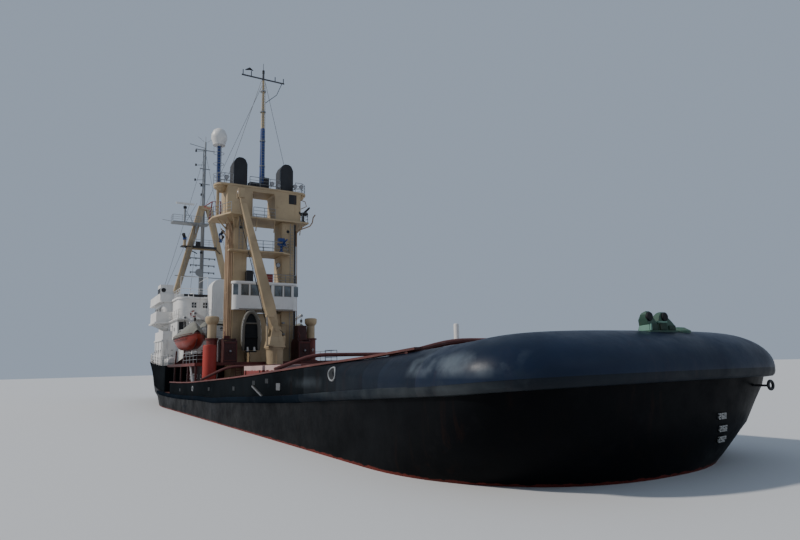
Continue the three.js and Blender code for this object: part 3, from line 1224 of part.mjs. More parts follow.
for (const [name, side] of SIDES) {
  piece(`wing_door_${name}`, wingDoor(side), WHITE).position.set(WING_DOOR.x1, side * WHEEL_HALF, 0);
  piece(`tower_leg_${name}`, seatedOn(mainDeckBody, towerLeg(side)), BUFF);
  piece(`funnel_cap_${name}`, funnelCap(), BLACK).position.set(TOWER_X, side * LEG_Y, TOP_PLATE_Z + GAP);
  piece(`propeller_${name}`, propellerSolid(side), BRONZE).position.set(PROPELLER_X, side * SHAFT_Y, SHAFT_Z);
  piece(`nozzle_${name}`, nozzleSolid(side), DARK_RED);
  piece(`rudder_${name}`, rudderSolid(), DARK_RED).position.set(RUDDER_STOCK_X, side * SHAFT_Y, 0);
  piece(`lifeboat_${name}`, lifeboat(), ORANGE).position.set(BOAT_X, side * DAVIT_HEAD.y, DAVIT_HEAD.z);
  piece(`davits_${name}`, davitArms(side), WHITE).position.set(BOAT_X, side * DAVIT_PIVOT.y, DAVIT_PIVOT.z);
}
piece('windlass', windlass(), GREY);
piece('windlass_drum', windlassDrum(), STEEL).position.set(WINDLASS_X, 0, WINDLASS_Z);

const ship = new THREE.Group();
ship.add(model);
model.position.x = -MIDSHIP;
ship.scale.setScalar(MM_PER_METRE);

export default ship;
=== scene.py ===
# Ocean-going salvage and towing tug at 1:10: finishes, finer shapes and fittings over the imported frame.
# Every size in the tables is in full-size metres: x from the stern end forward, y to port, z above the
# waterline. at() turns a full-size place into the model's own metres.
import math

import bmesh
import bpy
from mathutils import Matrix, Vector


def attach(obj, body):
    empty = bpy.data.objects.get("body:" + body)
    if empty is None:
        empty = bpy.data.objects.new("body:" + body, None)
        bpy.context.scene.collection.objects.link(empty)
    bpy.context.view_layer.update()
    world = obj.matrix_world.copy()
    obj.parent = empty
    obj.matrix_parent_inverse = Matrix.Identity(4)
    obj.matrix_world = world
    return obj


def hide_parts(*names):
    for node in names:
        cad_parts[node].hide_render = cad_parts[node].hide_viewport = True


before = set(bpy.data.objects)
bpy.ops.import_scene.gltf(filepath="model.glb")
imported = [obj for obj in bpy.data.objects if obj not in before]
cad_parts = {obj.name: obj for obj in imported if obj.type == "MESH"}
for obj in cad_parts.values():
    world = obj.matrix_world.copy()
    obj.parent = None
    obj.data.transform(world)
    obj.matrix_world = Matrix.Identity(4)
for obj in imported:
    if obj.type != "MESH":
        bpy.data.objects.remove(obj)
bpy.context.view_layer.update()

SCALE = 0.1
MIDSHIP = 46.0


def at(x, y, z):
    return Vector(((x - MIDSHIP) * SCALE, y * SCALE, z * SCALE))


# Camera at the photograph's place: position, axes and lens in the model's frame
CAMERA_PLACE = Vector((-5.82, 1.91, 0.41))
CAMERA_VIEW = Vector((0.84602, -0.50798, 0.16184))
CAMERA_RIGHT = Vector((-0.51106, -0.85918, -0.02522))
CAMERA_UP = Vector((-0.15186, 0.06137, 0.98649))
SENSOR_MM = 36
LENS_MM = 26.07


def add_camera():
    data = bpy.data.cameras.new("camera")
    data.sensor_width = SENSOR_MM
    data.lens = LENS_MM
    data.clip_start = 0.01
    data.clip_end = 200
    camera = bpy.data.objects.new("camera", data)
    place = Matrix((CAMERA_RIGHT, CAMERA_UP, -CAMERA_VIEW)).transposed().to_4x4()
    place.translation = CAMERA_PLACE
    camera.matrix_world = place
    bpy.context.scene.collection.objects.link(camera)
    bpy.context.scene.camera = camera


add_camera()

# Hull lines, as in the part's source

LENGTH = 92
HALF_BEAM = 7.8
KEEL_Z = -5.8
GAP = 0.003
SHEER = [[0, 3.75, 5.16], [3.9, 3.45, 4.9], [7.2, 3.27, 4.68], [10.6, 3.09, 4.43], [14, 2.9, 4.24],
         [18, 2.66, 4.03], [22, 2.48, 3.84], [26, 2.33, 3.64], [30.5, 2.17, 3.45], [36, 1.9, 3.25],
         [41, 1.9, 3.08], [46, 1.78, 2.93], [51, 1.7, 2.86], [56, 1.7, 2.85], [59.5, 1.75, 2.85],
         [63, 1.85, 2.85], [90, 4.3, 2.85]]
FORE_DECK = [[64, 4.7], [78, 5.5], [82, 5.9], [87, 5.9], [92, 7.2]]
STERN_RUN = 3.7
STERN_POWER = 3.2
BULWARK_END = 56
BULWARK_THICK = 0.22
STRAKE_END = 63
CROWN_START = 5
CROWN_END = 18
CROWN_WIDTH = 2.1
STRAKE_REACH = 0.3
HOUSE_FORE = 81
FORECASTLE_AFT = 59.4
FORECASTLE_RUN = 27
BOAT_DECK_Z = 4.75
BRIDGE_DECK_Z = 10.6
HULL_LINES = [
    (KEEL_Z, 30, 84, 5.6, 16, 1.5, 30, 1.6),
    (-5.5, 24, 85.5, 6.9, 18, 1.6, 30, 1.7),
    (-4.9, 19, 86, 7.5, 19, 1.7, 30, 1.75),
    (-3.8, 14, 86.2, 7.75, 19, 1.8, 30, 1.8),
    (-2.2, 8.6, 86, 7.79, 17, 1.9, 29, 1.85),
    (-0.8, 1.6, 86.2, 7.8, 11, 2.2, 28, 1.9),
    (0.5, 0.96, 87, 7.8, 7.4, 2.4, 27, 2.0),
    (1.5, 0.62, 88, 7.8, 5.4, 2.7, 27, 2.1),
]
TOP_LEVEL = HULL_LINES[-1][0]
DECK_LINE = (0.2, 90, 7.8, STERN_RUN, STERN_POWER, 27, 2.3)
UNDER_DECK = (0.45, 89, 7.8, STERN_RUN, STERN_POWER, 27, 2.3)
UNDER_DECK_DROP = 0.75
QUARTER_STEPS = 20
SIDE_STEPS = 46
BOW_STEPS = 22
EDGE_STEP = 1.4


def lerp(a, b, t):
    return a + (b - a) * t


def clamp(v, low=0.0, high=1.0):
    return max(low, min(high, v))


def table(rows, column=1):
    def value(x):
        if x <= rows[0][0]:
            return rows[0][column]
        for before, after in zip(rows, rows[1:]):
            if x <= after[0]:
                return lerp(before[column], after[column], (x - before[0]) / (after[0] - before[0]))
        return rows[-1][column]
    return value


deck_z = table(SHEER, 1)
bulwark_top = table(SHEER, 2)
fore_deck_z = table(FORE_DECK)


def deck_a(x):
    return 7.9 + 0.02 * (x - 62)


def fade_crown(x):
    t = clamp((CROWN_END - x) / (CROWN_END - CROWN_START))
    return t * t * (3 - 2 * t)


def waterline(aft, fore, half, stern_run, stern_power, bow_run, bow_power):
    points = []
    for i in range(QUARTER_STEPS + 1):
        angle = math.pi / 2 * i / QUARTER_STEPS
        points.append((aft + stern_run * (1 - max(math.cos(angle), 0) ** (2 / stern_power)),
                       half * math.sin(angle) ** (2 / stern_power)))
    start = aft + stern_run
    end = fore - bow_run
    for i in range(1, SIDE_STEPS + 1):
        points.append((lerp(start, end, i / SIDE_STEPS), half))
    for i in range(1, BOW_STEPS + 1):
        v = i / BOW_STEPS
        points.append((end + bow_run * v, half * (1 - v ** bow_power)))
    return points


def whole_outline(half, z_of):
    port = [(x, y, z_of(x)) for x, y in half]
    return port + [(x, -y, z_of(x)) for x, y in reversed(half[1:-1])]


def turn(count):
    """Cosine and sine of evenly spaced angles round a circle."""
    return [(math.cos(a), math.sin(a)) for a in (2 * math.pi * i / count for i in range(count))]


# Mesh building. A Shape gathers many small bodies, in full-size metres, into one object.

FORE = (1, 0, 0)
PORT = (0, 1, 0)
UP = Vector((0, 0, 1))
BOTH = (1, -1)
SIDES = (("port", 1), ("starboard", -1))
SAME_PLACE = 1e-5


class Shape:
    def __init__(self):
        self.points = []
        self.faces = []

    def add(self, points, faces, paint=0):
        base = len(self.points)
        self.points += [tuple(p) for p in points]
        self.faces += [([base + i for i in face], paint) for face in faces]

    def box(self, x0, x1, y0, y1, z0, z1, paint=0):
        points = [(x, y, z) for z in (z0, z1) for x, y in ((x0, y0), (x1, y0), (x1, y1), (x0, y1))]
        faces = [(3, 2, 1, 0), (4, 5, 6, 7), (0, 1, 5, 4), (1, 2, 6, 5), (2, 3, 7, 6), (3, 0, 4, 7)]
        self.add(points, faces, paint)

    def loft(self, rings, paint=0, caps=True):
        count = len(rings[0])
        points = [p for ring in rings for p in ring]
        faces = []
        for s in range(len(rings) - 1):
            for i in range(count):
                j = (i + 1) % count
                faces.append((s * count + i, s * count + j, (s + 1) * count + j, (s + 1) * count + i))
        if caps:
            faces.append(tuple(reversed(range(count))))
            faces.append(tuple(range((len(rings) - 1) * count, len(rings) * count)))
        self.add(points, faces, paint)

    def sheet(self, rows):
        count = len(rows[0])
        faces = [(s * count + i, s * count + i + 1, (s + 1) * count + i + 1, (s + 1) * count + i)
                 for s in range(len(rows) - 1) for i in range(count - 1)]
        self.add([p for row in rows for p in row], faces)

    def path(self, points, radius, sides=6, paint=0, closed=False):
        places = [Vector(p) for p in points]
        radii = radius if isinstance(radius, (list, tuple)) else [radius] * len(places)
        rings = []
        side = None
        for k, place in enumerate(places):
            before = places[k - 1] if k or closed else place
            after = places[(k + 1) % len(places)] if k < len(places) - 1 or closed else place
            tangent = (after - before).normalized()
            if side is None:
                side = UP if abs(tangent.z) < 0.9 else Vector(FORE)
            side = (side - tangent * side.dot(tangent)).normalized()
            other = tangent.cross(side)
            rings.append([place + (side * c + other * s) * radii[k] for c, s in turn(sides)])
        if closed:
            rings.append(rings[0])
        self.loft(rings, paint, caps=not closed)

    def rod(self, a, b, radius, sides=8, paint=0):
        self.path([a, b], radius, sides, paint)

    def lathe(self, centre, profile, sides=20, paint=0, axis="z"):
        rings = []
        for r, h in profile:
            ring = []
            for c, s in turn(sides):
                u, v = r * c, r * s
                local = {"z": (u, v, h), "x": (h, u, v), "y": (v, h, u)}[axis]
                ring.append(tuple(start + step for start, step in zip(centre, local)))
            rings.append(ring)
        self.loft(rings, paint)

    def collar(self, centre, inner, outer, low, high, sides=20, paint=0, axis="z"):
        self.lathe(centre, [(inner, low), (outer, low), (outer, high), (inner, high)], sides, paint, axis)

    def drum(self, centre, radius, low, high, sides=20, paint=0, axis="z"):
        self.collar(centre, 0.0, radius, low, high, sides, paint, axis)

    def beam(self, a, b, size, across=FORE, paint=0, end=None):
        a, b, across = Vector(a), Vector(b), Vector(across)
        along = (b - a).normalized()
        across = (across - along * across.dot(along)).normalized()
        up = along.cross(across)
        corners = ((-1, -1), (1, -1), (1, 1), (-1, 1))
        rings = [[c + across * (s * w / 2) + up * (t * d / 2) for s, t in corners]
                 for c, (w, d) in ((a, size), (b, end or size))]
        self.loft(rings, paint)

    def prism(self, outline, low, high, axis, paint=0):
        if axis == "x":
            rings = [[(h, u, v) for u, v in outline] for h in (low, high)]
        else:
            rings = [[(u, h, v) for u, v in outline] for h in (low, high)]
        self.loft(rings, paint)

    def make(self, name, paints, body="ship", bevel=0.0, sharp=35, weld=False, replaces=""):
        mesh = bpy.data.meshes.new(name)
        work = bmesh.new()
        verts = [work.verts.new(at(*p)) for p in self.points]
        for face, paint in self.faces:
            corners = list(dict.fromkeys(verts[i] for i in face))
            if len(corners) > 2:
                try:
                    work.faces.new(corners).material_index = paint
                except ValueError:
                    continue
        if weld:
            bmesh.ops.remove_doubles(work, verts=work.verts, dist=SAME_PLACE)
        bmesh.ops.recalc_face_normals(work, faces=work.faces)
        smooth_edges(work, sharp)
        work.to_mesh(mesh)
        work.free()
        obj = bpy.data.objects.new(name, mesh)
        bpy.context.scene.collection.objects.link(obj)
        for paint in paints.split():
            mesh.materials.append(LOOKS[paint].material)
        if bevel:
            add_bevel(obj, bevel * SCALE)
        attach(obj, body)
        if replaces:
            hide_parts(*replaces.split())
        return obj


def smooth_edges(work, degrees):
    limit = math.radians(degrees)
    for face in work.faces:
        face.smooth = True
    for edge in work.edges:
        edge.smooth = len(edge.link_faces) == 2 and edge.calc_face_angle(0) < limit


def add_bevel(obj, width):
    modifier = obj.modifiers.new("edge", "BEVEL")
    modifier.width = width
    modifier.segments = 2
    modifier.limit_method = "ANGLE"
    modifier.angle_limit = math.radians(30)
    modifier.harden_normals = False


# Materials. Each paint has colour drift, wear patches, streaks that run down, a fine bump and uneven gloss.

LOOKS = {}
RUST = (0.16, 0.055, 0.02)
GRIME = (0.06, 0.055, 0.05)
SOFT_EDGE = 0.03
ZONE_EDGE = 0.0015


def tint(colour, factor):
    return tuple(clamp(c * factor) for c in colour)


class Look:
    """A material, with short calls for the nodes of its pattern."""

    def __init__(self, name):
        self.material = bpy.data.materials.new(name)
        self.material.use_nodes = True
        self.tree = self.material.node_tree
        self.shader = self.tree.nodes["Principled BSDF"]
        self.place = self.node("TexCoord", {}).outputs["Object"]
        LOOKS[name] = self

    def feed(self, socket, value):
        if isinstance(value, bpy.types.NodeSocket):
            self.tree.links.new(value, socket)
        else:
            socket.default_value = value

    def set(self, name, value):
        self.feed(self.shader.inputs[name], value)

    def node(self, kind, inputs, **settings):
        node = self.tree.nodes.new("ShaderNode" + kind)
        for key, value in settings.items():
            setattr(node, key, value)
        for key, value in inputs.items():
            self.feed(node.inputs[key], value)
        return node

    def noise(self, scale, detail=4.0, rough=0.55, stretch=None):
        source = self.place
        if stretch:
            source = self.node("Mapping", {"Vector": source, "Scale": stretch}).outputs["Vector"]
        inputs = {"Vector": source, "Scale": scale, "Detail": detail, "Roughness": rough}
        return self.node("TexNoise", inputs).outputs["Fac"]

    def band(self, value, low, high, out_low=0.0, out_high=1.0):
        inputs = {"Value": value, "From Min": low, "From Max": high, "To Min": out_low, "To Max": out_high}
        return self.node("MapRange", inputs).outputs["Result"]

    def patches(self, low, high, *pattern, out=(0.0, 1.0), **options):
        """A noise whose values from low to high are spread over the range out."""
        return self.band(self.noise(*pattern, **options), low, high, *out)

    def blend(self, factor, a, b):
        a, b = ((*tone, 1) if isinstance(tone, tuple) else tone for tone in (a, b))
        return self.node("Mix", {"Factor": factor, 6: a, 7: b}, data_type="RGBA").outputs[2]

    def product(self, result, *others):
        for value in others:
            result = self.node("Math", {0: result, 1: value}, operation="MULTIPLY").outputs[0]
        return result

    def bump(self, height, strength, distance, over=None):
        inputs = {"Height": height, "Strength": strength, "Distance": distance}
        if over:
            inputs["Normal"] = over
        return self.node("Bump", inputs).outputs["Normal"]

    def cover(self, mask, tone):
        """Lay another colour over the present one where the mask is 1."""
        before = self.shader.inputs["Base Color"].links[0].from_socket
        self.set("Base Color", self.blend(mask, before, tone))


def painted(name, colour, rough=0.45, metallic=0.0, drift=0.25, streaks=0.35, streak_colour=RUST, wear=0.2,
            wear_colour=GRIME, wave=0.0, gloss=0.35):
    look = Look(name)
    tones = tint(colour, 1 - drift), tint(colour, 1 + drift)
    look.set("Base Color", look.blend(look.patches(0.35, 0.65, 2.3, 5), *tones))
    look.cover(look.product(look.patches(0.56, 0.74, 11.0, 8, 0.68), wear), wear_colour)
    runs = look.patches(0.56, 0.76, 1.0, 5, 0.6, stretch=(26, 26, 1.6))
    look.cover(look.product(runs, look.patches(0.45, 0.65, 3.1, 3), streaks), streak_colour)
    look.set("Roughness", look.patches(0.3, 0.7, 7.0, 6, 0.7, out=(max(rough - 0.12, 0.05), rough + 0.14)))
    look.set("Metallic", metallic)
    look.set("Specular IOR Level", gloss)
    broad = look.bump(look.noise(1.0, 1, stretch=(2.2, 2.2, 3.6)), 1.0, wave) if wave else None
    look.set("Normal", look.bump(look.noise(70.0, 3), 0.15, 0.0015, broad))
    return look


def zoned(name, zones, edge=0.004, **options):
    """Paint whose colour changes with height: rows of (upper edge in full-size metres, colour), upward."""
    look = painted(name, zones[-1][1], **options)
    height = look.node("SeparateXYZ", {0: look.place}).outputs["Z"]
    ragged = look.patches(0.3, 0.7, 30.0, 4, out=(-edge, edge))
    height = look.node("Math", {0: height, 1: ragged}, operation="ADD").outputs[0]
    for top, tone in reversed(zones[:-1]):
        below = look.band(height, top * SCALE - ZONE_EDGE, top * SCALE + ZONE_EDGE, 1, 0)
        worn = look.patches(0.35, 0.65, 4.0, 6, 0.65)
        look.cover(below, look.blend(worn, tint(tone, 0.8), tint(tone, 1.2)))


def wear_and_highlight_patch(name, along, heights, colour, strength):
    """Paler paint in one patch of the ship's port side: partly worn paint, partly a painted highlight of sun
    and sky on the side.
    """
    look = LOOKS[name]
    x, y, z = look.node("SeparateXYZ", {0: look.place}).outputs
    aft, fore = (at(v, 0, 0).x for v in along)
    low, high = (v * SCALE for v in heights)
    mask = look.product(look.band(x, aft, aft + SOFT_EDGE), look.band(x, fore - SOFT_EDGE, fore, 1, 0),
                        look.band(z, low, low + SOFT_EDGE), look.band(z, high - SOFT_EDGE, high, 1, 0),
                        look.band(y, 0.6, 0.68), look.patches(0.42, 0.6, 5.0, 5, out=(0, strength)))
    look.cover(mask, colour)


def glazing(name, colour):
    look = Look(name)
    tones = tint(colour, 0.7), tint(colour, 1.5)
    look.set("Base Color", look.blend(look.patches(0.35, 0.65, 9.0, 3), *tones))
    look.set("Roughness", look.patches(0.3, 0.7, 15.0, 3, out=(0.04, 0.16)))
    look.set("Specular IOR Level", 0.7)
    look.set("Coat Weight", 0.4)


def canvas_cloth(name, colour):
    look = Look(name)
    tones = tint(colour, 0.78), tint(colour, 1.15)
    look.set("Base Color", look.blend(look.patches(0.35, 0.65, 6.0, 6, 0.6), *tones))
    look.cover(look.product(look.patches(0.5, 0.75, 1.0, 4, stretch=(40, 40, 7)), 0.4), GRIME)
    look.set("Roughness", 0.88)
    look.set("Sheen Weight", 0.2)
    weave = look.node("TexVoronoi", {"Vector": look.place, "Scale": 900}).outputs["Distance"]
    folds = look.bump(look.noise(7.0, 3), 0.7, 0.006)
    look.set("Normal", look.bump(weave, 0.3, 0.0006, folds))


# Navy topside tone; its blue is also a painted sky reflection on the stern's crown
NAVY_WITH_SKY_SHEEN = (0.005, 0.0125, 0.032)
SIDE_BLACK = (0.0085, 0.0105, 0.0125)
BLACK = (0.0025, 0.003, 0.004)
ANTIFOULING = (0.12, 0.026, 0.02)
BUFF = (0.40, 0.305, 0.185)
SEA_BLUE = (0.018, 0.05, 0.20)
PALE = (0.68, 0.67, 0.65)
SKY_HIGH = 99
# Share of the navy tone and of gloss in the side's paint, up to each place along the ship. The navy is the
# topside's paint and also a painted reflection of the sky, bluest on the stern's crown
GLOSS_STEPS = [(6, 1.0), (8, 0.6), (10, 0.35), (12, 0.2), (14, 0.1), (16, 0.05), (999, 0.0)]
SIDE_PAINT = f"topside_{len(GLOSS_STEPS) - 1}"
zoned("hull_paint", [(0.1, ANTIFOULING), (SKY_HIGH, BLACK)], rough=0.45, wave=0.008, wear=0.2,
      wear_colour=(0.015, 0.015, 0.017), streaks=0.06, gloss=0.04)
for step, (_, share) in enumerate(GLOSS_STEPS):
    # Navy toward the stern, where it also paints the sky's reflection on the crown; black forward
    side_tone = tuple(lerp(b, a, share) for a, b in zip(NAVY_WITH_SKY_SHEEN, SIDE_BLACK))
    painted(f"topside_{step}", side_tone, rough=0.42, wave=0.008, wear=0.3, wear_colour=(0.022, 0.03, 0.038),
            streaks=0.08, gloss=0.2 * share)
    painted(f"strake_{step}", (0.007, 0.011, 0.017), rough=0.5, wear=0.45, wear_colour=(0.03, 0.036, 0.042),
            streaks=0.08, gloss=0.16 * share)
    # Paler patches on the port side's crown, topside and strake: worn paint, and painted highlights of the
    # sun and sky
    wear_and_highlight_patch(f"topside_{step}", (1.0, 6.2), (3.6, 4.6), (0.10, 0.125, 0.15), 0.75)
    wear_and_highlight_patch(f"topside_{step}", (14.0, 19.0), (3.0, 3.7), (0.05, 0.06, 0.07), 0.6)
    wear_and_highlight_patch(f"strake_{step}", (1.0, 16.0), (2.6, 3.6), (0.06, 0.07, 0.075), 0.4)
painted("deck_paint", (0.10, 0.035, 0.028), rough=0.7, drift=0.35, wear=0.5, wear_colour=(0.08, 0.07, 0.06),
        streaks=0.1)
painted("red", (0.22, 0.035, 0.027), rough=0.55, drift=0.3, wear=0.45, wear_colour=(0.22, 0.12, 0.10))
painted("dark_red", (0.105, 0.024, 0.02), rough=0.6, drift=0.35, wear=0.4, wear_colour=(0.07, 0.04, 0.03))
painted("vent_red", (0.26, 0.022, 0.014), rough=0.55, drift=0.3, wear=0.3, wear_colour=(0.10, 0.03, 0.025))
painted("rail_red", (0.12, 0.04, 0.035), rough=0.6, drift=0.3, wear=0.5, wear_colour=(0.2, 0.13, 0.12))
painted("maroon", (0.05, 0.014, 0.013), rough=0.6, drift=0.35, wear=0.4, wear_colour=(0.035, 0.022, 0.02))
painted("buff", BUFF, rough=0.6, drift=0.2, streaks=0.65, wear=0.35, wear_colour=(0.17, 0.12, 0.08))
painted("white", PALE, rough=0.45, drift=0.08, streaks=0.5, wear=0.2, wear_colour=(0.36, 0.34, 0.31))
painted("grey", (0.22, 0.23, 0.24), rough=0.5, drift=0.18, streaks=0.3)
painted("funnel_black", (0.015, 0.016, 0.02), rough=0.55, drift=0.3, wear=0.3,
        wear_colour=(0.07, 0.07, 0.07))
painted("blue", SEA_BLUE, rough=0.45, drift=0.2, streaks=0.3)
painted("green", (0.045, 0.105, 0.078), rough=0.6, drift=0.35, wear=0.4, wear_colour=(0.12, 0.10, 0.07))
# Lighter green for the tow pins' faces that the sun lights: painted sunlight
painted("green_light", (0.16, 0.32, 0.25), rough=0.6, drift=0.3, wear=0.3)
painted("green_dark", (0.015, 0.045, 0.03), rough=0.6, drift=0.3, wear=0.3)
painted("orange", (0.30, 0.034, 0.018), rough=0.42, drift=0.2, streaks=0.2, wear=0.2,
        wear_colour=(0.25, 0.06, 0.04))
painted("rubber_grey", (0.17, 0.16, 0.135), rough=0.7, drift=0.12, streaks=0.25, streak_colour=GRIME)
painted("rubber_black", (0.008, 0.011, 0.014), rough=0.75, drift=0.3, streaks=0.1)
painted("steel", (0.22, 0.22, 0.225), rough=0.42, metallic=0.8, drift=0.25, streaks=0.4)
painted("wire", (0.10, 0.095, 0.09), rough=0.6, metallic=0.6, drift=0.3)
painted("bronze", (0.42, 0.28, 0.12), rough=0.3, metallic=0.95, drift=0.2, streaks=0.15,
        streak_colour=(0.06, 0.14, 0.10))
painted("lamp_glass", (0.26, 0.27, 0.29), rough=0.2, drift=0.1, streaks=0.1)
painted("white_mark", (0.33, 0.33, 0.32), rough=0.5, drift=0.1, streaks=0.2)
painted("pipes", (0.30, 0.20, 0.12), rough=0.5, drift=0.25, streaks=0.7)
painted("dark_pipe", (0.055, 0.05, 0.05), rough=0.6, drift=0.3, streaks=0.5)
painted("under", ANTIFOULING, rough=0.6, drift=0.3, wear=0.4, wear_colour=(0.08, 0.06, 0.045))
zoned("mast", [(31.04, SEA_BLUE), (36.9, (0.42, 0.32, 0.18)), (SKY_HIGH, (0.05, 0.052, 0.06))], edge=0.0)
zoned("radome", [(28.0, SEA_BLUE), (SKY_HIGH, PALE)], edge=0.0, rough=0.4, streaks=0.3)
zoned("cowl", [(7.1, (0.15, 0.032, 0.025)), (SKY_HIGH, BUFF)], edge=0.0, rough=0.5)
# Red deck lockers whose upper part is pale pink: a painted highlight of sun and sky on their tops
zoned("lockers_painted_lit_tops", [(3.98, (0.2, 0.035, 0.028)), (SKY_HIGH, (0.42, 0.30, 0.28))], rough=0.55)
glazing("glass", (0.02, 0.025, 0.03))
glazing("cabin_glass", (0.09, 0.11, 0.12))
canvas_cloth("canvas", (0.15, 0.15, 0.125))


def grade(obj, family):
    """Give the faces of the first paint the step of its family that fits their place along the ship."""
    count = len(obj.data.materials)
    for step in range(len(GLOSS_STEPS)):
        obj.data.materials.append(LOOKS[f"{family}_{step}"].material)
    for face in obj.data.polygons:
        if face.material_index == 0:
            x = face.center.x / SCALE + MIDSHIP
            face.material_index = count + next(i for i, (limit, _) in enumerate(GLOSS_STEPS) if x < limit)


# CAD nodes that keep their shape: welded, edges eased, smooth where they are round

CAD_PAINTS = {
    "rail_red": "cap_rails",
    "maroon": "main_deck_house boat_deck winch_frame_port winch_frame_starboard",
    "white": "lower_house deck_a upper_house bridge_deck wheelhouse wheelhouse_roof house_door "
             "wing_door_port wing_door_starboard vent_hood control_cabin cabin_roof radar_scanner "
             "davits_port davits_starboard",
    "buff": "tower_leg_port tower_leg_starboard tower_base tower_top_box tower_platform mid_platform "
            "bipod_mast crane_pedestal crane_turret crane_jib",
    "funnel_black": "funnel_cap_port funnel_cap_starboard",
    "mast": "main_mast",
    "radome": "radome_mast",
    "pipes": "exhaust_pipes_port",
    "dark_pipe": "exhaust_pipes_starboard",
    "grey": "pole_mast radar_platform windlass",
    "lockers_painted_lit_tops": "deck_boxes",
    "green": "tow_pins",
    "wire": "winch_drum_port winch_drum_starboard",
    "cowl": "vent_cowl_port vent_cowl_starboard",
    "under": "rudder_port rudder_starboard nozzle_port nozzle_starboard",
    "steel": "windlass_drum",
    "bronze": "propeller_port propeller_starboard",
}
THIN_DOORS = ("house_door", "wing_door_port", "wing_door_starboard")
CAD_BEVEL = 0.0022
DOOR_BEVEL = 0.001


def cad_smoother():
    group = bpy.data.node_groups.new("smooth_by_angle", "GeometryNodeTree")
    for direction in ("INPUT", "OUTPUT"):
        group.interface.new_socket("Geometry", in_out=direction, socket_type="NodeSocketGeometry")
    add, link = group.nodes.new, group.links.new
    start = add("NodeGroupInput")
    end = add("NodeGroupOutput")
    merge = add("GeometryNodeMergeByDistance")
    merge.inputs["Distance"].default_value = SAME_PLACE
    bare = add("GeometryNodeRemoveAttribute")
    bare.inputs["Name"].default_value = "custom_normal"
    faces = add("GeometryNodeSetShadeSmooth")
    edges = add("GeometryNodeSetShadeSmooth")
    edges.domain = "EDGE"
    edges.inputs["Shade Smooth"].default_value = False
    angle = add("GeometryNodeInputMeshEdgeAngle")
    steep = add("FunctionNodeCompare")
    steep.data_type = "FLOAT"
    steep.operation = "GREATER_THAN"
    steep.inputs[1].default_value = math.radians(34)
    for source, target in ((start, merge), (merge, bare), (bare, faces), (faces, edges), (angle, steep)):
        link(source.outputs[0], target.inputs[0])
    link(steep.outputs[0], edges.inputs["Selection"])
    link(edges.outputs[0], end.inputs[0])
    return group


def finish_cad():
    smoother = cad_smoother()
    for paint, nodes in CAD_PAINTS.items():
        for node in nodes.split():
            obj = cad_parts[node]
            for slot in obj.material_slots:
                slot.material = LOOKS[paint].material
            obj.modifiers.new("smooth", "NODES").node_group = smoother
            add_bevel(obj, DOOR_BEVEL if node in THIN_DOORS else CAD_BEVEL)


finish_cad()

# Hull, deck and underwater parts

SHAFT_Y = 3.3
SHAFT_Z = -3.9
PROPELLER_X = 6.9
RUDDER_STOCK_X = 4.55
LEVELS = [KEEL_Z, -5.65, -5.5, -5.2, -4.9, -4.35, -3.8, -3.2, -2.7, -2.2, -1.7, -1.25, -0.8, -0.35, 0.1,
          0.5, 1.0, TOP_LEVEL]
BOLLARD = [(0.0, 0.08), (0.2, 0.1), (0.18, 0.7), (0.23, 0.74), (0.23, 0.82), (0.0, 0.86)]


def hull_ring(z):
    for lower, upper in zip(HULL_LINES, HULL_LINES[1:]):
        if z <= upper[0]:
            t = (z - lower[0]) / (upper[0] - lower[0])
            return [lerp(a, b, t) for a, b in zip(lower[1:], upper[1:])]
    return list(HULL_LINES[-1][1:])


def under_deck(x):
    return deck_z(x) - UNDER_DECK_DROP


def shell_z(x, z):
    return min(z, under_deck(x) - 0.2)


def add_bollards(shape, x, y, paint):
    z = deck_z(x)
    shape.box(x - 0.9, x + 0.9, y - 0.3, y + 0.3, z - 0.2, z + 0.12, paint)
    for d in (-0.55, 0.55):
        shape.lathe((x + d, y, z), BOLLARD, 16, paint)


